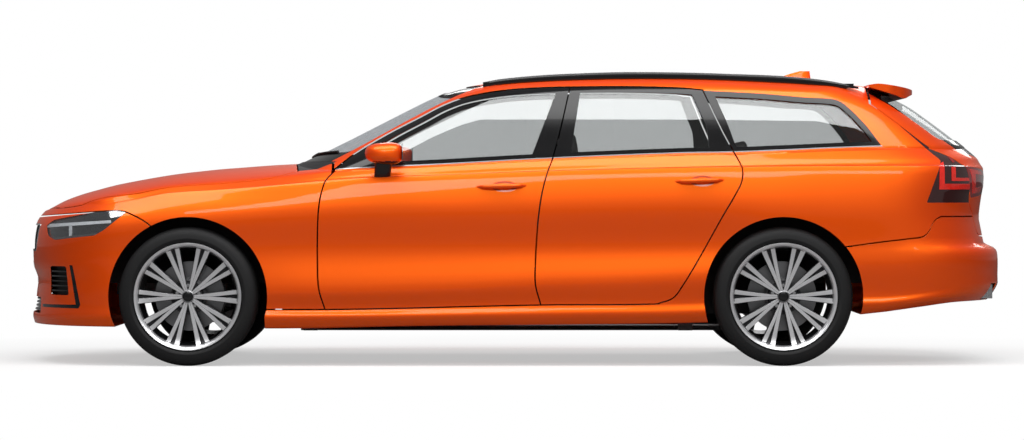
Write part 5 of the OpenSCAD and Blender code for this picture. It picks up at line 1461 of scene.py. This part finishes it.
cushion("bench_cushion", 765.0, 0.0, 468.0, 420.0, 900.0, 90.0, lean=0.05, seams=3,
        replaces=["rear_bench"])
for k, y in (("left", -330.0), ("right", 330.0), ("middle", 0.0)):
    cushion("bench_back_" + k, 1080.0, y, 778.0, 445.0, 300.0 if y else 330.0, 96.0,
            lean=math.radians(108), seams=4, crown_h=8.0)
for k, y in (("left", -420.0), ("right", 420.0), ("middle", 0.0)):
    cushion("bench_rest_" + k, 1150.0, y, 1066.0, 96.0, 220.0, 66.0, lean=math.radians(104),
            power=0.5, seams=0, crown_h=3.0)

# steering wheel: rim, three spokes and a padded boss, on the column's own axis
tilt = math.radians(24)
axis = Vector((-math.cos(tilt), 0, -math.sin(tilt)))
hub = Vector((-560.0, -380.0, 905.0))
across = Vector((0, -1, 0))
upward = axis.cross(across)


def on_wheel(r, a, d):
    return tuple(hub + across * (r * math.sin(a)) + upward * (r * math.cos(a)) + axis * d)


sw = Build()
ring, faces = [], []
n_a, n_c = 96, 14
for i in range(n_a):
    a = 2 * math.pi * i / n_a
    flat = 1.0 - 0.05 * max(0.0, -math.cos(a)) ** 8
    for j in range(n_c):
        c = 2 * math.pi * j / n_c
        ring.append(on_wheel((170 + 13.5 * math.cos(c)) * flat, a, 14.5 * math.sin(c)))
for i in range(n_a):
    for j in range(n_c):
        faces.append((i * n_c + j, i * n_c + (j + 1) % n_c,
                      ((i + 1) % n_a) * n_c + (j + 1) % n_c, ((i + 1) % n_a) * n_c + j))
sw.add(ring, faces, "leather")
for a0 in (math.radians(92), math.radians(268), math.radians(180)):
    rows = []
    for t in np.linspace(0, 1, 8):
        r, w = mix(40, 162, t), mix(34, 20, t)
        rows.append([on_wheel(math.hypot(r, u), a0 + math.atan2(u, r), d)
                     for u, d in ((-w, 8), (w, 8), (w * 0.9, 20), (-w * 0.9, 20))])
    rows = np.array(rows)
    sw.add(rows.reshape(-1, 3), [(a * 4 + k, a * 4 + (k + 1) % 4, (a + 1) * 4 + (k + 1) % 4,
                                  (a + 1) * 4 + k) for a in range(7) for k in range(4)], "satin")
boss = []
rads = ((62, 38), (66, 22), (64, 6), (54, -6), (30, -12), (1, -13))
for r, d in rads:
    for q in np.linspace(0, 2 * math.pi, 36, endpoint=False):
        boss.append(on_wheel(r * (1 - 0.12 * abs(math.sin(2 * q))), q, d))
sw.add(boss, [(i * 36 + j, i * 36 + (j + 1) % 36, (i + 1) * 36 + (j + 1) % 36, (i + 1) * 36 + j)
              for i in range(len(rads) - 1) for j in range(36)], "dark")
col = [on_wheel(19.5, q, d) for d in (30, 235) for q in np.linspace(0, 2 * math.pi, 20,
                                                                  endpoint=False)]
sw.add(col, [(j, (j + 1) % 20, 20 + (j + 1) % 20, 20 + j) for j in range(20)], "dark")
put("wheel_rim_and_boss", sw.mesh("steering"), "steering_wheel",
    ["steering_wheel"], 40)

# dashboard: padded top roll, vents, display and console, over the beam of the frame
DASH = refine([(-1110, 870), (-1040, 898), (-980, 915), (-900, 932), (-820, 924), (-765, 888),
               (-752, 850), (-765, 800), (-772, 720), (-800, 640), (-850, 580)], 5)
rows = []
for y in np.linspace(-722, 722, 41):
    f = 1 - 0.03 * (abs(y) / 722) ** 4
    hood_bump = 10 * math.exp(-((y + 380) / 170) ** 2)
    row = [(x, y, z * f + (hood_bump if z > 860 and x > -1000 else 0)) for x, z in DASH]
    row += [(-900, y, 575), (-1115, y, 600)]
    rows.append(row)
rows = np.array(rows)
n, m = rows.shape[:2]
dash = Build().add(rows.reshape(-1, 3), [(a * m + k, a * m + (k + 1) % m,
                   (a + 1) * m + (k + 1) % m, (a + 1) * m + k) for a in range(n - 1)
                   for k in range(m)] + [tuple(range(m)),
                   tuple((n - 1) * m + k for k in range(m - 1, -1, -1))], "dark")


def pad_box(b, x0, x1, y0, y1, z0, z1, mat, r=8.0):
    """Block with rounded edges seen from behind the dashboard."""
    line = round_corners([(y0, z0), (y1, z0), (y1, z1), (y0, z1)], r, 5)
    k = len(line)
    small = (line - line.mean(0)) * 0.96 + line.mean(0)
    verts = [(x0, p, q) for p, q in line] + [(x1 - 4, p, q) for p, q in line] \
        + [(x1, p, q) for p, q in small]
    b.add(verts, [(j, (j + 1) % k, k + (j + 1) % k, k + j) for j in range(k)]
          + [(k + j, k + (j + 1) % k, 2 * k + (j + 1) % k, 2 * k + j) for j in range(k)]
          + [tuple(range(2 * k, 3 * k))], mat)


pad_box(dash, -800, -741, -110, 110, 690, 880, "black", 12)
pad_box(dash, -800, -744, -520, -240, 856, 918, "black", 14)
for y0, y1 in ((-690, -560), (-180, -125), (125, 180), (560, 690)):
    pad_box(dash, -800, -745, y0, y1, 775, 855, "satin", 8)
    for z in np.linspace(787, 843, 5):
        pad_box(dash, -760, -742, y0 + 8, y1 - 8, z - 3, z + 3, "black", 2)
pad_box(dash, -800, -750, 200, 560, 690, 760, "satin", 10)
console = refine([(-790, 360), (-790, 560), (-700, 545), (-520, 478), (-300, 470), (0, 470),
                  (200, 462), (248, 440), (250, 335)], 4)
rows = [[(x, y, z - 6 * (abs(y) / 110) ** 6) for x, z in console] + [(-780, y, 335)]
        for y in np.linspace(-110, 110, 13)]
rows = np.array(rows)
n, m = rows.shape[:2]
dash.add(rows.reshape(-1, 3), [(a * m + k, a * m + (k + 1) % m, (a + 1) * m + (k + 1) % m,
         (a + 1) * m + k) for a in range(n - 1) for k in range(m)] + [tuple(range(m)),
         tuple((n - 1) * m + k for k in range(m - 1, -1, -1))], "dark")
put("dashboard_and_console", dash.mesh("dash"), "body", ["dashboard"], 40)

# headlining, carpet and door linings
lining = cut(keep(cut(grid_solid("h20", high_grid(20.0)), grid_solid("h23", high_grid(23.0))),
                  prism(grown(ROOF, -14.0), "z", 1330.0, 1700.0)), screen_solid)
piece("headlining", lining, "cloth", "body", (), 40)
carpet = Build()
for x0, x1, z in ((-1080, 700, 229), (1010, 2240, 549)):
    gx, gy = np.linspace(x0, x1, 30), np.linspace(-740 if z < 300 else -460, 740 if z < 300 else 460, 24)
    verts = [(x, y, z + 1.5 * math.sin(x * 0.02) * math.sin(y * 0.03)
              + (108 * max(0, 1 - (abs(y) / 128) ** 6) if z < 300 else 0)) for x in gx for y in gy]
    carpet.add(verts, [(i * 24 + j, i * 24 + j + 1, (i + 1) * 24 + j + 1, (i + 1) * 24 + j)
                       for i in range(29) for j in range(23)], "carpet")
M["carpet"] = finish_node("floor_carpet", (0.02, 0.02, 0.021), 0.95, bump=0.8, bump_scale=900.0)
put("carpet", carpet.mesh("carpet", recalc=False), "body", (), 60)


def door_card(x0, x1, z0, z1, arm_x0, arm_x1, arm_z):
    """Inner lining of a door with an armrest and a low pocket."""
    b = Build()
    gx, gz = np.linspace(x0, x1, 40), np.linspace(z0, z1, 30)
    verts = []
    for x in gx:
        for z in gz:
            arm = math.exp(-((z - arm_z) / 34.0) ** 4) * (1 / (1 + math.exp(-(x - arm_x0) / 14))
                                                          - 1 / (1 + math.exp(-(x - arm_x1) / 14)))
            pocket = -10 * math.exp(-((z - z0 - 70) / 42.0) ** 4) * (x0 + 90 < x < x1 - 90)
            verts.append((x, -803.0 + 30 * arm + pocket * 0.4, z))
    b.add(verts, [(i * 30 + j, i * 30 + j + 1, (i + 1) * 30 + j + 1, (i + 1) * 30 + j)
                  for i in range(39) for j in range(29)], "dark")
    return b


for end, args in (("front", (-800, 60, 320, 905, -560, -60, 640)),
                  ("rear", (300, 700, 345, 930, 380, 700, 660))):
    for side_name, s in SIDES:
        b = "%s_door_%s" % (end, side_name)
        put(b + "_card", door_card(*args).mesh("card", bool(s), recalc=False), b,
            (), 50)


# ---------------------------------------------------------------- finishes of the CAD nodes that stay
# the bumper beam, trimmed where it would show through the bumper skin
beam_in = boolean(grid_solid("beam_in", low_grid(12.0)), grid_solid("beam_in_high", high_grid(12.0)),
                  "UNION")
rails_node = frame["nodes"]["front_rails"]
rails_mesh = rails_node.data.copy()
rails_mesh.transform(rails_node.matrix_world)
joiner = bmesh.new()
joiner.from_mesh(rails_mesh)
bmesh.ops.remove_doubles(joiner, verts=joiner.verts, dist=1e-6)
joiner.to_mesh(rails_mesh)
joiner.free()
piece("front_rails_trimmed", keep(rails_mesh, beam_in), "under", "body",
      ["front_rails"], 30)

NODE_FINISH = {
    "floor_pan": "under", "front_rails": "under", "fuel_tank": "under", "engine": "gear",
    "front_subframe": "gear", "rear_axle": "gear", "knuckle_left": "gear",
    "knuckle_right": "gear", "exhaust": "steel", "grille": "mesh", "headlamps": "lamp_body",
    "tail_lamps": "smoke", "tailgate_lamps": "smoke", "roof_rails": "black",
    "dashboard": "dark", "steering_wheel": "dark", "front_seats": "leather",
    "rear_bench": "leather", "mirror_left": "paint", "mirror_right": "paint",
}
for node, obj in frame["nodes"].items():
    mat = NODE_FINISH.get(node, "tyre" if node.startswith("tyre") else
                          "alloy" if node.startswith("rim") else "paint")
    obj.data.materials.clear()
    obj.data.materials.append(M[mat])


# ---------------------------------------------------------------- floor, light, finish
def stage_plane(name, size, z):
    me = bpy.data.meshes.new(name)
    me.from_pydata([(-size, -size, z), (size, -size, z), (size, size, z), (-size, size, z)], [],
                   [(0, 1, 2, 3)])
    o = bpy.data.objects.new(name, me)
    scene.collection.objects.link(o)
    return o


def floor_material():
    m, new, link = blank_material("pale_floor")
    out, d = new("ShaderNodeOutputMaterial"), new("ShaderNodeBsdfPrincipled")
    tc, n, r = new("ShaderNodeTexCoord"), new("ShaderNodeTexNoise"), new("ShaderNodeValToRGB")
    n.inputs["Scale"].default_value = 0.6
    r.color_ramp.elements[0].color = (0.80, 0.80, 0.80, 1)
    r.color_ramp.elements[1].color = (0.84, 0.84, 0.84, 1)
    link(tc.outputs["Object"], n.inputs["Vector"])
    link(n.outputs["Fac"], r.inputs["Fac"])
    link(r.outputs["Color"], d.inputs["Base Color"])
    d.inputs["Roughness"].default_value = 0.9
    dim, path, pick = (new("ShaderNodeBsdfDiffuse"), new("ShaderNodeLightPath"),
                       new("ShaderNodeMixShader"))
    dim.inputs["Color"].default_value = (0.24, 0.24, 0.24, 1)
    glow, spread, blend = (new("ShaderNodeEmission"), new("ShaderNodeMapping"),
                           new("ShaderNodeMixShader"))
    round_fade, steps = new("ShaderNodeTexGradient"), new("ShaderNodeValToRGB")
    glow.inputs["Color"].default_value = (1.0, 1.0, 1.0, 1)
    glow.inputs["Strength"].default_value = 1.0
    spread.inputs["Scale"].default_value = (1 / 5.2, 1 / 3.6, 1.0)
    round_fade.gradient_type = "SPHERICAL"
    steps.color_ramp.elements[0].position = 0.02
    steps.color_ramp.elements[1].position = 0.6
    steps.color_ramp.elements[1].color = (0.5, 0.5, 0.5, 1)
    link(tc.outputs["Object"], spread.inputs["Vector"])
    link(spread.outputs["Vector"], round_fade.inputs["Vector"])
    link(round_fade.outputs["Fac"], steps.inputs["Fac"])
    link(steps.outputs["Color"], blend.inputs["Fac"])
    link(glow.outputs["Emission"], blend.inputs[1])
    link(d.outputs["BSDF"], blend.inputs[2])
    link(path.outputs["Is Camera Ray"], pick.inputs["Fac"])
    link(dim.outputs["BSDF"], pick.inputs[1])
    link(blend.outputs["Shader"], pick.inputs[2])
    link(pick.outputs["Shader"], out.inputs["Surface"])
    return m


floor = stage_plane("floor", 60.0, 0.0)
floor.data.materials.append(floor_material())

world = bpy.data.worlds.new("studio")
scene.world = world
world.use_nodes = True
wt = world.node_tree
wt.nodes.clear()
w_out, w_bg = wt.nodes.new("ShaderNodeOutputWorld"), wt.nodes.new("ShaderNodeBackground")
w_bg.inputs["Color"].default_value = (1.0, 1.0, 1.0, 1)
w_bg.inputs["Strength"].default_value = 0.22
w_mix, w_path = wt.nodes.new("ShaderNodeMixShader"), wt.nodes.new("ShaderNodeLightPath")
w_show, w_or = wt.nodes.new("ShaderNodeBackground"), wt.nodes.new("ShaderNodeMath")
w_show.inputs["Color"].default_value = (1.0, 1.0, 1.0, 1)
w_show.inputs["Strength"].default_value = 1.0
w_or.operation = "MAXIMUM"
wt.links.new(w_path.outputs["Is Camera Ray"], w_or.inputs[0])
wt.links.new(w_path.outputs["Is Transmission Ray"], w_or.inputs[1])
wt.links.new(w_or.outputs["Value"], w_mix.inputs["Fac"])
wt.links.new(w_bg.outputs["Background"], w_mix.inputs[1])
wt.links.new(w_show.outputs["Background"], w_mix.inputs[2])
wt.links.new(w_mix.outputs["Shader"], w_out.inputs["Surface"])


def area(name, loc, aim, sx, sy, watts):
    d = bpy.data.lights.new(name, "AREA")
    d.shape, d.size, d.size_y, d.energy = "RECTANGLE", sx, sy, watts
    o = bpy.data.objects.new(name, d)
    o.location = loc
    o.rotation_euler = (Vector(aim) - Vector(loc)).to_track_quat("-Z", "Y").to_euler()
    scene.collection.objects.link(o)
    o.visible_camera = False
    return o


area("overhead", (0, -2.5, 6.5), (0, 0, 0.6), 10.0, 3.5, 600)
area("key", (1.0, -9.5, 6.0), (0, 0, 0.7), 9.0, 2.0, 420)
area("back", (2.0, 8.0, 4.5), (0, 0, 0.7), 7.0, 2.5, 260)
scene.view_settings.view_transform = "Standard"
